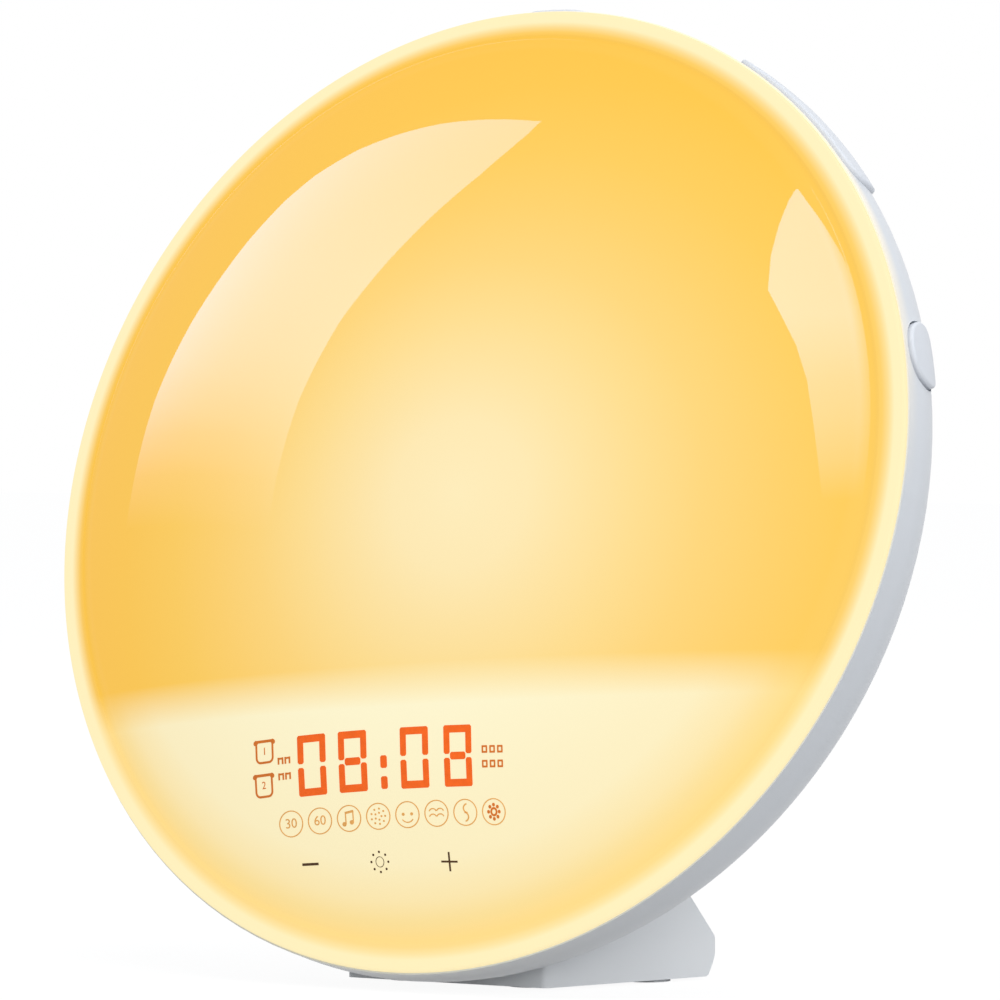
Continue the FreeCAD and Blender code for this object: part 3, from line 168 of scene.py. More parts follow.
def mix_colour(tree, fac, first, second, blend="MIX"):
    node = add_node(tree, "ShaderNodeMix", data_type="RGBA", blend_type=blend)
    for socket, value in (("Factor", fac), ("A", first), ("B", second)):
        feed(tree, node.inputs[socket], value)
    return node.outputs["Result"]


def calculate(tree, operation, first, second=0.0, clamp=False):
    node = add_node(tree, "ShaderNodeMath", operation=operation, use_clamp=clamp)
    feed(tree, node.inputs[0], first)
    feed(tree, node.inputs[1], second)
    return node.outputs["Value"]


def feed(tree, socket, value):
    """Link an output to a socket, or set the socket's own value."""
    if isinstance(value, bpy.types.NodeSocket):
        tree.links.new(value, socket)
    elif isinstance(value, (tuple, list)) and len(value) == 3 and socket.type == "RGBA":
        socket.default_value = (*value, 1.0)
    else:
        socket.default_value = value


def bump(tree, shader, height, strength, distance):
    node = add_node(tree, "ShaderNodeBump")
    node.inputs["Strength"].default_value = strength
    node.inputs["Distance"].default_value = distance
    tree.links.new(height, node.inputs["Height"])
    tree.links.new(node.outputs["Normal"], shader.inputs["Normal"])


def from_screen(red, green, blue):
    """A screen colour of 0 to 255 as the linear colour that the shaders take."""
    linear = []
    for value in (red / 255, green / 255, blue / 255):
        linear.append(value / 12.92 if value <= 0.04045 else ((value + 0.055) / 1.055) ** 2.4)
    return tuple(linear)


# Materials

MOULD_GRAIN = 4200.0
MOULD_DEPTH = 0.0001


def moulded_plastic(name, colour, roughness=0.35, grain=0.004, tint=0.03):
    """Moulded plastic: a faint cloudiness in its colour and the fine grain of the mould."""
    material, tree, shader = new_material(name)
    place = place_pattern(tree, (1, 1, 1))
    cloud = noise(tree, place, 35.0, 3.0)
    darker = tuple(channel * (1 - tint) for channel in colour)
    lighter = tuple(min(channel * (1 + tint), 1.0) for channel in colour)
    tree.links.new(ramp(tree, cloud, [(0.35, darker), (0.65, lighter)]), shader.inputs["Base Color"])
    gloss = ramp(tree, noise(tree, place, 220.0, 2.0), [
        (0.3, (roughness * 0.9,) * 3), (0.7, (roughness * 1.1,) * 3)])
    tree.links.new(gloss, shader.inputs["Roughness"])
    bump(tree, shader, noise(tree, place, MOULD_GRAIN, 2.0), grain, MOULD_DEPTH)
    return material


def plated_metal(name, colour, roughness=0.3):
    material, tree, shader = new_material(name)
    place = place_pattern(tree, (1, 1, 9))
    streak = noise(tree, place, 900.0, 4.0)
    darker = tuple(channel * 0.85 for channel in colour)
    tree.links.new(ramp(tree, streak, [(0.3, darker), (0.7, colour)]), shader.inputs["Base Color"])
    tree.links.new(ramp(tree, streak, [
        (0.3, (roughness * 0.7,) * 3), (0.7, (roughness * 1.3,) * 3)]), shader.inputs["Roughness"])
    bump(tree, shader, streak, 0.08, 0.0002)
    shader.inputs["Metallic"].default_value = 1.0
    return material


def circuit_board(name, colour):
    """Solder mask with the faint net of its copper tracks."""
    material, tree, shader = new_material(name)
    place = place_pattern(tree, (1, 1, 1))
    tracks = add_node(tree, "ShaderNodeTexVoronoi", distance="MANHATTAN", feature="DISTANCE_TO_EDGE")
    tracks.inputs["Scale"].default_value = 260.0
    tree.links.new(place, tracks.inputs["Vector"])
    lighter = tuple(min(channel * 1.7 + 0.02, 1.0) for channel in colour)
    lines = ramp(tree, tracks.outputs["Distance"], [(0.05, lighter), (0.12, colour)])
    tree.links.new(lines, shader.inputs["Base Color"])
    shader.inputs["Roughness"].default_value = 0.35
    bump(tree, shader, tracks.outputs["Distance"], 0.1, 0.0003)
    return material


def soft_material(name, colour, roughness=0.9, scale=1400.0):
    """Rubber, foam or paper: matt, with an open grain."""
    material, tree, shader = new_material(name)
    place = place_pattern(tree, (1, 1, 1))
    grain = noise(tree, place, scale, 4.0, 0.65)
    darker = tuple(channel * 0.8 for channel in colour)
    tree.links.new(ramp(tree, grain, [(0.35, darker), (0.65, colour)]), shader.inputs["Base Color"])
    shader.inputs["Roughness"].default_value = roughness
    bump(tree, shader, grain, 0.25, 0.0003)
    return material


def under_gloss(colour):
    """A screen colour less what the glossy skin adds to it."""
    return tuple(max(channel - GLOSS_VEIL, 0.0) for channel in from_screen(*colour))


def face_place(tree):
    """Object coordinates turned into the face's own x, y and height, in millimetres."""
    turned = place_pattern(tree, (1000, 1000, 1000), turn=(FACE_TILT - math.pi / 2, 0, 0))
    node = add_node(tree, "ShaderNodeSeparateXYZ")
    tree.links.new(turned, node.inputs["Vector"])
    origin = RING_CENTRE / MM
    axes = (FACE_RIGHT, FACE_UP, FACE_OUT)
    return [calculate(tree, "SUBTRACT", output, origin.dot(axis))
            for output, axis in zip(node.outputs, axes)]


def distance_from(tree, across, upward, middle):
    sideways = calculate(tree, "SUBTRACT", across, middle[0])
    upwards = calculate(tree, "SUBTRACT", upward, middle[1])
    squares = calculate(tree, "ADD", calculate(tree, "MULTIPLY", sideways, sideways),
                        calculate(tree, "MULTIPLY", upwards, upwards))
    return calculate(tree, "SQRT", squares)


GLOW_MIDDLE = (14.0, -8.0)
GLOW_REACH = 105.0
GLOW_STOPS = (
    (0.0, (253, 236, 189)), (0.12, (253, 233, 182)), (0.2, (253, 228, 168)), (0.3, (253, 222, 150)),
    (0.4, (253, 215, 132)), (0.5, (253, 210, 118)), (0.6, (252, 206, 105)), (0.74, (252, 201, 92)),
    (0.88, (252, 198, 84)))
LOWER_LIGHT = (254, 246, 209)
LOWER_EDGE = (252, 215, 130)
RING_LIGHT = (251, 236, 187)
BOUNDARY_LEVEL = -40.2
BOUNDARY_RISE = math.radians(4.4)
BOUNDARY_BOW = 0.0006
BOUNDARY_SOFTNESS = 3.4
GLOW_SHARE = 0.95
PLAIN_SHARE = 0.12
GLOSS_VEIL = 0.05
DOME_COAT = 0.5


def lit_diffuser():
    """Amber acrylic lit from behind: a cream middle, a pale lower zone and a bright flat ring."""
    material, tree, shader = new_material("lit_diffuser")
    across, upward, _ = face_place(tree)
    glow = calculate(tree, "DIVIDE", distance_from(tree, across, upward, GLOW_MIDDLE), GLOW_REACH)
    amber = ramp(tree, glow, [(stop, under_gloss(colour)) for stop, colour in GLOW_STOPS])
    centre = calculate(tree, "DIVIDE", distance_from(tree, across, upward, (0.0, 0.0)), RING_RADIUS)
    lower = ramp(tree, centre, [
        (0.53, under_gloss(LOWER_LIGHT)), (0.80, under_gloss((253, 240, 197))),
        (0.87, under_gloss((253, 233, 179))), (0.91, under_gloss((253, 226, 158))),
        (0.945, from_screen(*LOWER_EDGE))])
    slope = calculate(tree, "MULTIPLY", across, math.tan(BOUNDARY_RISE))
    risen = calculate(tree, "SUBTRACT", upward, slope)
    bowed = calculate(tree, "MULTIPLY", calculate(tree, "MULTIPLY", across, across), BOUNDARY_BOW)
    above = calculate(tree, "SUBTRACT", calculate(tree, "SUBTRACT", risen, bowed), BOUNDARY_LEVEL)
    zone = calculate(tree, "DIVIDE", above, 2 * BOUNDARY_SOFTNESS)
    zone = calculate(tree, "ADD", zone, 0.5, clamp=True)
    dome = mix_colour(tree, zone, lower, amber)
    rim_glow = ramp(tree, centre, [
        (0.905, (0, 0, 0)), (0.941, (0.08,) * 3), (0.953, (0.18,) * 3), (0.965, (0.52,) * 3),
        (0.977, (1, 1, 1))])
    lit = mix_colour(tree, rim_glow, dome, from_screen(*RING_LIGHT))
    plain = mix_colour(tree, 1.0, lit, (PLAIN_SHARE,) * 3, "MULTIPLY")
    tree.links.new(plain, shader.inputs["Base Color"])
    tree.links.new(lit, shader.inputs["Emission Color"])
    shader.inputs["Emission Strength"].default_value = GLOW_SHARE
    gloss = ramp(tree, centre, [(0.915, (DOME_COAT,) * 3), (0.943, (0, 0, 0))])
    tree.links.new(gloss, shader.inputs["Coat Weight"])
    shader.inputs["Roughness"].default_value = 0.5
    shader.inputs["Specular IOR Level"].default_value = 0.0
    shader.inputs["Coat Roughness"].default_value = 0.015
    return material


def glowing_mark(name, colour, strength):
    """A lit or printed mark: slightly uneven, so it isn't one flat colour."""
    material, tree, shader = new_material(name)
    place = place_pattern(tree, (1, 1, 1))
    cloud = noise(tree, place, 900.0, 2.0)
    darker = tuple(channel * 0.9 for channel in colour)
    shade = ramp(tree, cloud, [(0.3, darker), (0.7, colour)])
    tree.links.new(shade, shader.inputs["Base Color"])
    tree.links.new(shade, shader.inputs["Emission Color"])
    shader.inputs["Emission Strength"].default_value = strength
    shader.inputs["Specular IOR Level"].default_value = 0.15
    shader.inputs["Roughness"].default_value = 0.5
    return material


# Painted light: a warm glow painted on the case just behind the ring, in its colour and as emission
PAINTED_GLOW_DEPTH = 4.5
PAINTED_GLOW_STRENGTH = 0.16
CASE_WHITE = (0.76, 0.79, 0.83)


def shell_plastic():
    """White moulded plastic with a painted warm glow at its front edge, on its upper side: colour and
    emission that stand in for the ring's light falling on it.
    """
    material, tree, shader = new_material("case_plastic")
    place = place_pattern(tree, (1, 1, 1))
    cloud = noise(tree, place, 35.0, 3.0)
    plain = ramp(tree, cloud, [(0.35, tuple(c * 0.985 for c in CASE_WHITE)), (0.65, CASE_WHITE)])
    face = face_place(tree)
    # Painted glow: warm colour and emission that fade back from the ring's edge, only on the upper side
    behind = calculate(tree, "DIVIDE", calculate(tree, "MULTIPLY", face[2], -1.0), PAINTED_GLOW_DEPTH)
    painted_glow = ramp(tree, behind, [(0.2, (1, 1, 1)), (1.0, (0, 0, 0))], "EASE")
    height = calculate(tree, "DIVIDE", face[1], RING_RADIUS)
    painted_glow_upper = ramp(tree, height, [(0.0, (0, 0, 0)), (0.7, (1, 1, 1))])
    painted_glow = calculate(tree, "MULTIPLY", painted_glow, painted_glow_upper)
    tree.links.new(mix_colour(tree, painted_glow, plain, from_screen(252, 242, 220)), shader.inputs["Base Color"])
    shader.inputs["Emission Color"].default_value = (*from_screen(253, 238, 205), 1.0)
    tree.links.new(calculate(tree, "MULTIPLY", painted_glow, PAINTED_GLOW_STRENGTH), shader.inputs["Emission Strength"])
    shader.inputs["Roughness"].default_value = 0.34
    bump(tree, shader, noise(tree, place, MOULD_GRAIN, 2.0), 0.006, MOULD_DEPTH)
    return material


MATERIALS = {
    "case_plastic": shell_plastic(),
    # The foot is the same white plastic as the case and keys, painted lighter to stand in for light that
    # falls on it
    "foot_plastic": moulded_plastic("foot_plastic", (0.93, 0.95, 0.965), 0.4, tint=0.012),
    "key_plastic": moulded_plastic("key_plastic", (0.76, 0.79, 0.84), 0.4, tint=0.012),
    "white_plastic": moulded_plastic("white_plastic", (0.86, 0.86, 0.85), 0.5),
    "black_plastic": moulded_plastic("black_plastic", (0.03, 0.03, 0.03), 0.45),
    "display_black": moulded_plastic("display_black", (0.02, 0.02, 0.02), 0.3),
    "chip_black": moulded_plastic("chip_black", (0.035, 0.035, 0.037), 0.55),
    "capacitor_sleeve": moulded_plastic("capacitor_sleeve", (0.05, 0.06, 0.12), 0.35),
    "wire_sleeve": moulded_plastic("wire_sleeve", (0.5, 0.03, 0.03), 0.4),
    "lamp_light": moulded_plastic("lamp_light", (0.95, 0.82, 0.45), 0.3),
    "light_board_white": circuit_board("light_board_white", (0.82, 0.82, 0.80)),
    "circuit_board": circuit_board("circuit_board", (0.02, 0.12, 0.05)),
    "rubber": soft_material("rubber", (0.8, 0.82, 0.84)),
    "foam": soft_material("foam", (0.05, 0.05, 0.05), scale=2200.0),
    "speaker_paper": soft_material("speaker_paper", (0.03, 0.03, 0.03)),
    "magnet": soft_material("magnet", (0.04, 0.04, 0.04), 0.6),
    "steel": plated_metal("steel", (0.62, 0.63, 0.64)),
    "speaker_steel": plated_metal("speaker_steel", (0.2, 0.2, 0.21), 0.4),
    "brass": plated_metal("brass", (0.75, 0.58, 0.28)),
    "diffuser_plastic": lit_diffuser(),
}
DIGIT_GLOW = glowing_mark("digit_glow", from_screen(243, 103, 34), 0.36)
ALARM_PRINT = glowing_mark("alarm_print", from_screen(216, 118, 46), 0.3)
SYMBOL_PRINT = glowing_mark("symbol_print", from_screen(226, 166, 92), 0.36)
TOUCH_PRINT = glowing_mark("touch_print", from_screen(90, 62, 38), 0.05)


# Pieces: a bmesh becomes an object at the origin with its place in its mesh

def new_piece(name, shape, material, node=None, smooth=True):
    mesh = bpy.data.meshes.new(name)
    shape.to_mesh(mesh)
    shape.free()
    mesh.materials.append(material)
    for polygon in mesh.polygons:
        polygon.use_smooth = smooth
    piece = bpy.data.objects.new(name, mesh)
    bpy.context.scene.collection.objects.link(piece)
    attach(piece, "clock")
    if node:
        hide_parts(node)
    return piece


def dome_level(x, y):
    """Height of the dome over the ring's face, in millimetres."""
    return SPHERE_LEVEL + math.sqrt(SPHERE_RADIUS ** 2 - x * x - y * y)


def arc_points(middle, radius, low, high, steps):
    """Points of an arc in the section plane: x is the radius, z the height."""
    points = []
    for step in range(steps + 1):
        angle = low + (high - low) * step / steps
        points.append((middle[0] + radius * math.cos(angle), middle[1] + radius * math.sin(angle)))
    return points


def front_dome():
    """Dome and ring in one skin, spun from their section, with a soft blend and softened edges."""
    seam = math.atan2(-SPHERE_LEVEL, DOME_REACH)
    inner = SPHERE_RADIUS - DOME_WALL
    inner_end = math.asin((-RING_THICKNESS - SPHERE_LEVEL) / inner)
    swing = math.pi / 2 - seam
    tangent = RING_BLEND * math.tan(swing / 2)
    top = arc_points((0, SPHERE_LEVEL), SPHERE_RADIUS, math.pi / 2, seam + tangent / SPHERE_RADIUS, 60)
    blend = arc_points((DOME_REACH + tangent, RING_BLEND), RING_BLEND,
                       seam - math.pi, -math.pi / 2, 8)
    edge = arc_points((RING_RADIUS - RING_EDGE, -RING_EDGE), RING_EDGE, math.pi / 2, 0, 5)
    under = [(RING_RADIUS, -RING_THICKNESS)]
    inside = arc_points((0, SPHERE_LEVEL), inner, inner_end, math.pi / 2, 40)
    shape = bmesh.new()
    section = [shape.verts.new((x, 0, z)) for x, z in top + blend + edge + under + inside]
    for start, end in zip(section, section[1:]):
        shape.edges.new((start, end))
    bmesh.ops.spin(shape, geom=shape.verts[:] + shape.edges[:], cent=(0, 0, 0), axis=(0, 0, 1),
                   angle=2 * math.pi, steps=ROUND_STEPS, use_merge=True)
    bmesh.ops.remove_doubles(shape, verts=shape.verts, dist=0.0005)
    bmesh.ops.recalc_face_normals(shape, faces=shape.faces)
    shape.transform(FACE_TO_ROW)
    return new_piece(
        "front_dome", shape, MATERIALS["diffuser_plastic"], "front_diffuser")


# Marks on the face, drawn flat and laid on the dome

def bar(shape, x, y, length, width, angle=0.0, point=0.0):
    """A thin bar about its middle. A point above 0 cuts its corners towards a tip."""
    size = Matrix.Diagonal((length, width, DISPLAY_SHEET, 1.0))
    made = bmesh.ops.create_cube(shape, size=1.0, matrix=size)["verts"]
    if point > 0:
        corners = [edge for edge in {e for v in made for e in v.link_edges}
                   if abs(edge.verts[0].co.z - edge.verts[1].co.z) > DISPLAY_SHEET / 2]
        made = bmesh.ops.bevel(shape, geom=corners, offset=width * point, segments=1, profile=0.5,
                               affect="EDGES", material=-1)["verts"]
        made = connected(made[0])
    place = Matrix.Translation((x, y, 0)) @ Matrix.Rotation(angle, 4, "Z")
    bmesh.ops.transform(shape, matrix=place, verts=made)


def connected(vertex):
    """All vertices joined to one by edges."""
    found = {vertex}
    queue = [vertex]
    while queue:
        for edge in queue.pop().link_edges:
            for other in edge.verts:
                if other not in found:
                    found.add(other)
                    queue.append(other)
    return list(found)


def hoop(shape, x, y, radius, width, low=0.0, turn=2 * math.pi, steps=40):
    """A thin ring or part of one, spun from its small square section."""
    place = Matrix.Translation((radius, 0, 0)) @ Matrix.Rotation(math.pi / 2, 4, "X")
    size = Matrix.Diagonal((width, DISPLAY_SHEET, 1.0, 1.0))
    made = bmesh.ops.create_grid(shape, x_segments=1, y_segments=1, size=0.5, matrix=place @ size)["verts"]
    faces = list({face for vertex in made for face in vertex.link_faces})
    full = turn > 2 * math.pi - 0.01
    section = made + faces + list({e for v in made for e in v.link_edges})
    bmesh.ops.spin(shape, geom=section, cent=(0, 0, 0), axis=(0, 0, 1), angle=turn, steps=steps,
                   use_merge=full)
    whole = connected(made[0])
    if full:
        bmesh.ops.delete(shape, geom=faces, context="FACES_ONLY")
    else:
        bmesh.ops.recalc_face_normals(shape, faces=list({f for v in whole for f in v.link_faces}))
    move = Matrix.Translation((x, y, 0)) @ Matrix.Rotation(low, 4, "Z")
    bmesh.ops.transform(shape, matrix=move, verts=whole)


def dot(shape, x, y, radius, steps=16):
    bmesh.ops.create_cone(
        shape, cap_ends=True, segments=steps, radius1=radius, radius2=radius, depth=DISPLAY_SHEET,
        matrix=Matrix.Translation((x, y, 0)))


def words(shape, text, x, y, height):
    """Plain numerals, made a mesh and centred on a place."""
    curve = bpy.data.curves.new("numerals", "FONT")
    curve.body = text
    curve.size = height
    curve.resolution_u = 4
    curve.extrude = DISPLAY_SHEET / 2
    curve.align_x = "CENTER"
    curve.align_y = "CENTER"
    holder = bpy.data.objects.new("numerals", curve)
    flat = bpy.data.meshes.new_from_object(holder)
    before = set(shape.verts)
    shape.from_mesh(flat)
    new = [vertex for vertex in shape.verts if vertex not in before]
    bmesh.ops.transform(shape, matrix=Matrix.Translation((x, y, 0)), verts=new)
    bpy.data.objects.remove(holder)
    bpy.data.curves.remove(curve)
    bpy.data.meshes.remove(flat)


def lay_on_dome(shape, name, material, rise=DISPLAY_RISE):
    """Let the flat drawing's rows rise and draw together to the right, and lay it on the dome."""
    for vertex in shape.verts:
        x, y, z = vertex.co
        x -= DISPLAY_CROWDING * (x - CROWDING_MIDDLE) ** 2
        y += (x - DISPLAY_MIDDLE) * math.tan(rise)
        vertex.co = x, y, dome_level(x, y) + z + DISPLAY_LIFT
    bmesh.ops.recalc_face_normals(shape, faces=shape.faces)
    shape.transform(FACE_TO_ROW)
    new_piece(name, shape, material, smooth=False)


def digits():
    """Seven-stroke digits. Their upright strokes stop short of the middle, where a gap shows."""
    shape = bmesh.new()
    half_wide = (DIGIT_WIDTH - STROKE) / 2
    half_high = (DIGIT_HEIGHT - STROKE) / 2
    upright = half_high + STROKE / 2 - STROKE_GAP
    upright_middle = STROKE_GAP + upright / 2
    flat = DIGIT_WIDTH - STROKE * 1.1
    strokes = {
        "a": (0, half_high, flat, 0), "d": (0, -half_high, flat, 0),
        "g": (0, 0, DIGIT_WIDTH - STROKE * 2.1, 0),
        "f": (-half_wide, upright_middle, upright, math.pi / 2),
        "b": (half_wide, upright_middle, upright, math.pi / 2),
        "e": (-half_wide, -upright_middle, upright, math.pi / 2),
        "c": (half_wide, -upright_middle, upright, math.pi / 2)}
    for digit, middle in zip(DIGITS, DIGIT_MIDDLES):
        for letter in SEGMENTS_ON[digit]:
            x, y, length, angle = strokes[letter]
            bar(shape, middle + x, DIGIT_LEVEL + y, length, STROKE, angle, STROKE_POINT)
    for level in COLON_LEVELS:
        bar(shape, COLON_MIDDLE, level, COLON_WIDTH, COLON_HEIGHT, 0.0, 0.12)
    lay_on_dome(shape, "digits", DIGIT_GLOW)


def alarm_symbols():
    """Two small bell clocks, each with its number, beside the digits."""
    shape = bmesh.new()
    for number, (x, level) in zip(("1", "2"), ALARM_PLACES):
        bar(shape, x, level + 1.55, 3.7, 0.45, 0.0, 0.3)
        bar(shape, x, level - 1.85, 1.8, ALARM_LINE)
        for side, start in ((-1, 180), (1, 270)):
            bar(shape, x + side * 1.75, level + 1.4, 0.9, 0.75, side * math.radians(-35), 0.3)
            bar(shape, x + side * 1.65, level + 0.2, 2.5, ALARM_LINE, math.pi / 2)
            hoop(shape, x + side * 0.85, level - 1.05, 0.8, ALARM_LINE, math.radians(start), math.pi / 2, 6)
        words(shape, number, x, level - 0.1, 1.7)
    lay_on_dome(shape, "alarm_symbols", ALARM_PRINT)


def small_marks():
    """Tiny marks either side of the digits, where the real face has small printing."""
    shape = bmesh.new()
    for level in LEFT_MARK_LEVELS:
        for x in LEFT_MARK_PLACES:
            bar(shape, x - 0.42, level, 0.32, 1.1)
            bar(shape, x + 0.42, level, 0.32, 1.1)
            bar(shape, x, level + 0.36, 0.8, MARK_LINE)
    for level in RIGHT_MARK_LEVELS:
        for x in RIGHT_MARK_PLACES:
            for rise in (-0.45, 0.45):
                bar(shape, x, level + rise, 1.1, MARK_LINE)
            for side in (-0.42, 0.42):
                bar(shape, x + side, level, MARK_LINE, 0.9)
    lay_on_dome(shape, "small_marks", ALARM_PRINT)


def symbol_row():
    """Eight thin circles: two timers, a note, four kinds of sound and a warm spot."""
    shape = bmesh.new()
    middles = [SYMBOL_FIRST + SYMBOL_PITCH * n for n in range(8)]
    for x in middles:
        hoop(shape, x, SYMBOL_LEVEL, SYMBOL_RADIUS, SYMBOL_LINE)
    words(shape, "30", middles[0], SYMBOL_LEVEL, NUMERAL_HEIGHT)
    words(shape, "60", middles[1], SYMBOL_LEVEL, NUMERAL_HEIGHT)
    music_note(shape, middles[2])
    for ring, count in ((0.65, 5), (1.4, 9)):
        for n in range(count):
            angle = 2 * math.pi * n / count
            dot(shape, middles[3] + ring * math.cos(angle), SYMBOL_LEVEL + ring * math.sin(angle), 0.2, 8)
    for side in (-1, 1):
        dot(shape, middles[4] + side * 0.85, SYMBOL_LEVEL + 0.1, 0.3, 10)
    hoop(shape, middles[4], SYMBOL_LEVEL - 0.1, 1.3, 0.2, math.radians(215), math.radians(110), 12)
    for level in (-0.55, 0.45):
        for side in (-1, 1):
            hoop(shape, middles[5] + side * 0.75, SYMBOL_LEVEL + level - 0.35, 0.78, 0.22,
                 math.radians(25), math.radians(130), 10)
    hoop(shape, middles[6] + 0.45, SYMBOL_LEVEL + 0.75, 0.8, 0.26, math.radians(100), math.radians(170), 12)
    hoop(shape, middles[6] - 0.2, SYMBOL_LEVEL - 0.8, 0.8, 0.26, math.radians(-80), math.radians(170), 12)
    squash_row(shape)
    lay_on_dome(shape, "symbol_row", SYMBOL_PRINT)


def squash_row(shape):
    """Make the row of symbols a little lower, about its own level."""
    for vertex in shape.verts:
        vertex.co.y = SYMBOL_LEVEL + (vertex.co.y - SYMBOL_LEVEL) * SYMBOL_SQUASH


def music_note(shape, x):
    for side, drop in ((-0.75, 0.0), (0.75, 0.25)):
        dot(shape, x + side - 0.25, SYMBOL_LEVEL - 1.0 + drop, 0.42, 12)
        bar(shape, x + side + 0.08, SYMBOL_LEVEL + 0.05 + drop, 0.22, 2.1)
    bar(shape, x + 0.08, SYMBOL_LEVEL + 1.15, 1.75, 0.42, math.radians(9))


def warm_symbol():
    """The last symbol: a ring of petals on a warmer spot."""
    shape = bmesh.new()
    x = SYMBOL_FIRST + SYMBOL_PITCH * 7
    for n in range(8):
        angle = math.pi * n / 4
        dot(shape, x + 1.1 * math.cos(angle), SYMBOL_LEVEL + 1.1 * math.sin(angle), 0.3, 10)
    hoop(shape, x, SYMBOL_LEVEL, 0.55, 0.35, steps=20)
    lay_on_dome(shape, "warm_symbol", ALARM_PRINT)


def touch_marks():
    """Less, sun and more: the three places to touch under the display."""
    shape = bmesh.new()
    bar(shape, TOUCH_MIDDLE - TOUCH_SPREAD, TOUCH_LEVEL, TOUCH_LENGTH, 0.4)
    bar(shape, TOUCH_MIDDLE + TOUCH_SPREAD, TOUCH_LEVEL, TOUCH_LENGTH, 0.3)
    for side in (-1, 1):
        bar(shape, TOUCH_MIDDLE + TOUCH_SPREAD, TOUCH_LEVEL + side * 0.82, 0.34, 1.34)
    for n in range(8):
        angle = math.pi * n / 4
        dot(shape, TOUCH_MIDDLE + 1.7 * math.cos(angle), TOUCH_LEVEL + 1.55 * math.sin(angle), 0.2, 10)
    hoop(shape, TOUCH_MIDDLE, TOUCH_LEVEL, 0.8, 0.1, steps=24)
    lay_on_dome(shape, "touch_marks", TOUCH_PRINT, rise=TOUCH_RISE)


# Camera, lights and the white room

CAMERA_BACK = Vector((math.sin(CAMERA_TURN) * math.cos(CAMERA_RISE),
                      -math.cos(CAMERA_TURN) * math.cos(CAMERA_RISE), math.sin(CAMERA_RISE)))
CAMERA_RIGHT = Vector((math.cos(CAMERA_TURN), math.sin(CAMERA_TURN), 0))
CAMERA_UP = CAMERA_BACK.cross(CAMERA_RIGHT)
CAMERA_PLACE = (RING_CENTRE + CAMERA_RIGHT * CAMERA_ASIDE + CAMERA_UP * CAMERA_ABOVE
                + CAMERA_BACK * CAMERA_DISTANCE)


def camera():
    data = bpy.data.cameras.new("camera")
    data.sensor_width = SENSOR
    data.lens = FOCAL_PIXELS / PHOTO_SIZE * SENSOR
    data.clip_end = 50
    holder = bpy.data.objects.new("camera", data)
    holder.matrix_world = Matrix.Translation(CAMERA_PLACE) @ Matrix(
        (CAMERA_RIGHT, CAMERA_UP, CAMERA_BACK)).transposed().to_4x4()
    bpy.context.scene.collection.objects.link(holder)
    bpy.context.scene.camera = holder


def seen_by_camera(tree):
    """1 for camera, mirror and glass rays, 0 for the light that falls on the object."""
    path = add_node(tree, "ShaderNodeLightPath")
    rays = path.outputs
    direct = calculate(tree, "ADD", rays["Is Camera Ray"], rays["Is Glossy Ray"], clamp=True)
    return calculate(tree, "ADD", direct, rays["Is Transmission Ray"], clamp=True)


AMBIENT = (0.49, 0.505, 0.53)
FLOOR_SIZE = 4.0
FLOOR_GREY = (0.44, 0.44, 0.44)
FLOOR_WHITE = 1.25
FLOOR_WHITE_SHARE = 0.75
LAMP_AIM = Vector((0, 0, 0.08))

# Each lamp's name, place, width, power and colour
LAMPS = (
    ("top_light", (0.5, -0.3, 1.5), 1.4, 9.0, (0.97, 0.985, 1.0)),
    ("side_light", (1.45, -0.8, 0.6), 1.0, 8.0, (1.0, 1.0, 1.0)),
    ("front_light", (0.7, -1.5, 0.12), 0.8, 2.6, (1.0, 1.0, 1.0)))


def room():
    world = bpy.data.worlds.new("room")
    bpy.context.scene.world = world
    world.use_nodes = True
    tree = world.node_tree
    background = tree.nodes["Background"]
    shade = mix_colour(tree, seen_by_camera(tree), AMBIENT, (1.0, 1.0, 1.0))
    tree.links.new(shade, background.inputs["Color"])


def floor():
    shape = bmesh.new()
    bmesh.ops.create_grid(shape, x_segments=1, y_segments=1, size=FLOOR_SIZE)
    mesh = bpy.data.meshes.new("floor")
    shape.to_mesh(mesh)
    shape.free()
    material, tree, shader = new_material("floor_white")
    shader.inputs["Base Color"].default_value = (*FLOOR_GREY, 1.0)
    shader.inputs["Roughness"].default_value = 0.9
    shader.inputs["Specular IOR Level"].default_value = 0.0
    white = add_node(tree, "ShaderNodeEmission")
    white.inputs["Strength"].default_value = FLOOR_WHITE
    blend = add_node(tree, "ShaderNodeMixShader")
    share = calculate(tree, "MULTIPLY", seen_by_camera(tree), FLOOR_WHITE_SHARE)
    tree.links.new(share, blend.inputs["Fac"])
    tree.links.new(shader.outputs["BSDF"], blend.inputs[1])
    tree.links.new(white.outputs["Emission"], blend.inputs[2])
    tree.links.new(blend.outputs["Shader"], tree.nodes["Material Output"].inputs["Surface"])
    mesh.materials.append(material)
    piece = bpy.data.objects.new("floor", mesh)
    bpy.context.scene.collection.objects.link(piece)


def area_light(name, place, size, power, colour):
    data = bpy.data.lights.new(name, "AREA")
    data.shape = "DISK"
    data.size = size
    data.energy = power
    data.color = colour
    holder = bpy.data.objects.new(name, data)
    holder.location = place
    holder.rotation_euler = (LAMP_AIM - Vector(place)).to_track_quat("-Z", "Y").to_euler()
    holder.visible_glossy = False
    holder.visible_camera = False
    bpy.context.scene.collection.objects.link(holder)


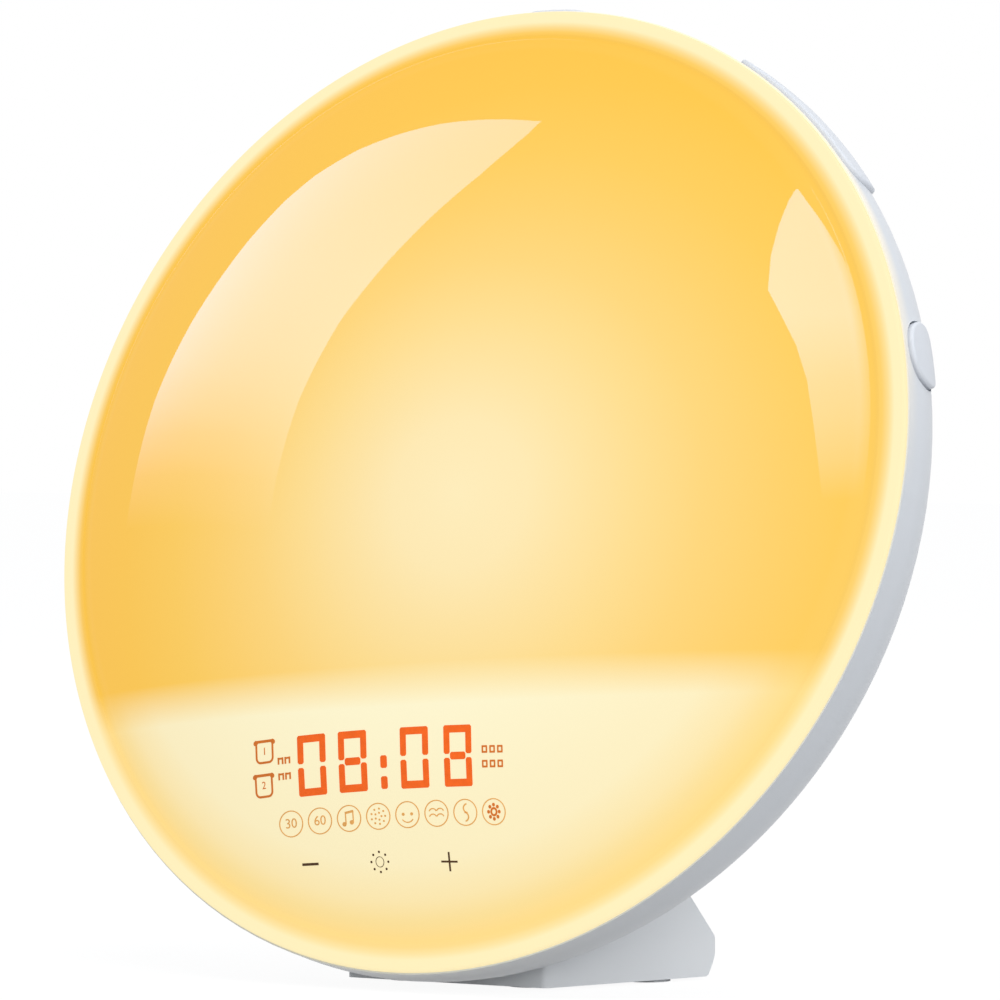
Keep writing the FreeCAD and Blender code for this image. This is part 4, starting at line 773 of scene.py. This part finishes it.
# Two softboxes that the dome mirrors. Each row is a height in the photograph, the left and right
# edges of the reflection there, and how bright it is.
LEFT_GLINT = (
    (121, 535, 542, 1.0), (124, 440, 538, 1.0), (134, 400, 528, 1.0), (150, 358, 509, 1.0),
    (175, 316, 480, 1.0), (200, 286, 450, 1.0), (240, 249, 408, 1.0), (280, 219, 372, 1.0),
    (320, 193, 341, 0.95), (360, 172, 318, 0.85), (400, 155, 299, 0.65), (440, 143, 286, 0.38),
    (480, 134, 276, 0.15), (530, 126, 268, 0.0))
RIGHT_GLINT = (
    (189, 796, 798, 1.0), (200, 789, 806, 1.0), (225, 779, 824, 1.0), (255, 771, 842, 1.0),
    (290, 768, 858, 1.0), (315, 781, 867, 1.0), (345, 796, 876, 0.85), (380, 807, 882, 0.65),
    (420, 813, 887, 0.5), (460, 818, 890, 0.3), (500, 822, 892, 0.0))
SOFTBOX_DISTANCE = 3.0
LEFT_BRIGHTNESS = 9.8
RIGHT_BRIGHTNESS = 16.5
SOFTBOX_COLOUR = (0.45, 0.54, 1.0)


def mirrored_place(pixel_x, pixel_y):
    """Where the dome's reflection at a pixel of the photograph comes from, on the softboxes' distance."""
    half = PHOTO_SIZE / 2
    look = (CAMERA_RIGHT * (pixel_x - half) - CAMERA_UP * (pixel_y - half)) / FOCAL_PIXELS - CAMERA_BACK
    look.normalize()
    middle = RING_CENTRE + FACE_OUT * SPHERE_LEVEL * MM
    offset = CAMERA_PLACE - middle
    along = offset.dot(look)
    reach = along ** 2 - offset.length_squared + (SPHERE_RADIUS * MM) ** 2
    touch = CAMERA_PLACE + look * (-along - math.sqrt(max(reach, 0.0)))
    normal = (touch - middle).normalized()
    return touch + look.reflect(normal) * SOFTBOX_DISTANCE


def softbox(name, rows, brightness, mirror):
    """A bright panel behind the camera that only the mirror piece shows."""
    shape = bmesh.new()
    fade = shape.verts.layers.float.new("fade")
    last = None
    for pixel_y, left, right, strength in rows:
        pair = [shape.verts.new(mirrored_place(x, pixel_y)) for x in (left, right)]
        for vertex in pair:
            vertex[fade] = strength
        if last:
            shape.faces.new((last[0], last[1], pair[1], pair[0]))
        last = pair
    mesh = bpy.data.meshes.new(name)
    shape.to_mesh(mesh)
    shape.free()
    material, tree, shader = new_material(name)
    light = add_node(tree, "ShaderNodeEmission")
    share = add_node(tree, "ShaderNodeAttribute", attribute_name="fade")
    feed(tree, light.inputs["Strength"], calculate(tree, "MULTIPLY", share.outputs["Fac"], brightness))
    light.inputs["Color"].default_value = (*SOFTBOX_COLOUR, 1.0)
    clear = add_node(tree, "ShaderNodeBsdfTransparent")
    both = add_node(tree, "ShaderNodeAddShader")
    tree.links.new(light.outputs["Emission"], both.inputs[0])
    tree.links.new(clear.outputs["BSDF"], both.inputs[1])
    tree.links.new(both.outputs["Shader"], tree.nodes["Material Output"].inputs["Surface"])
    mesh.materials.append(material)
    piece = bpy.data.objects.new(name, mesh)
    bpy.context.scene.collection.objects.link(piece)
    piece.visible_camera = False
    piece.visible_diffuse = False
    piece.visible_shadow = False
    receivers = bpy.data.collections.new(name)
    receivers.objects.link(mirror)
    piece.light_linking.receiver_collection = receivers


def dress_cad_nodes():
    """Give every CAD node the procedural material of its slot."""
    slots = {entry["node"]: entry["material_slot"] for entry in frame["record"]["subparts"]}
    for name, node in frame["nodes"].items():
        for place in node.material_slots:
            place.material = MATERIALS[slots[name]]


dress_cad_nodes()
dome = front_dome()
digits()
alarm_symbols()
small_marks()
symbol_row()
warm_symbol()
touch_marks()
camera()
room()
floor()
for lamp in LAMPS:
    area_light(*lamp)
softbox("left_softbox", LEFT_GLINT, LEFT_BRIGHTNESS, dome)
softbox("right_softbox", RIGHT_GLINT, RIGHT_BRIGHTNESS, dome)
bpy.context.scene.view_settings.view_transform = "Standard"
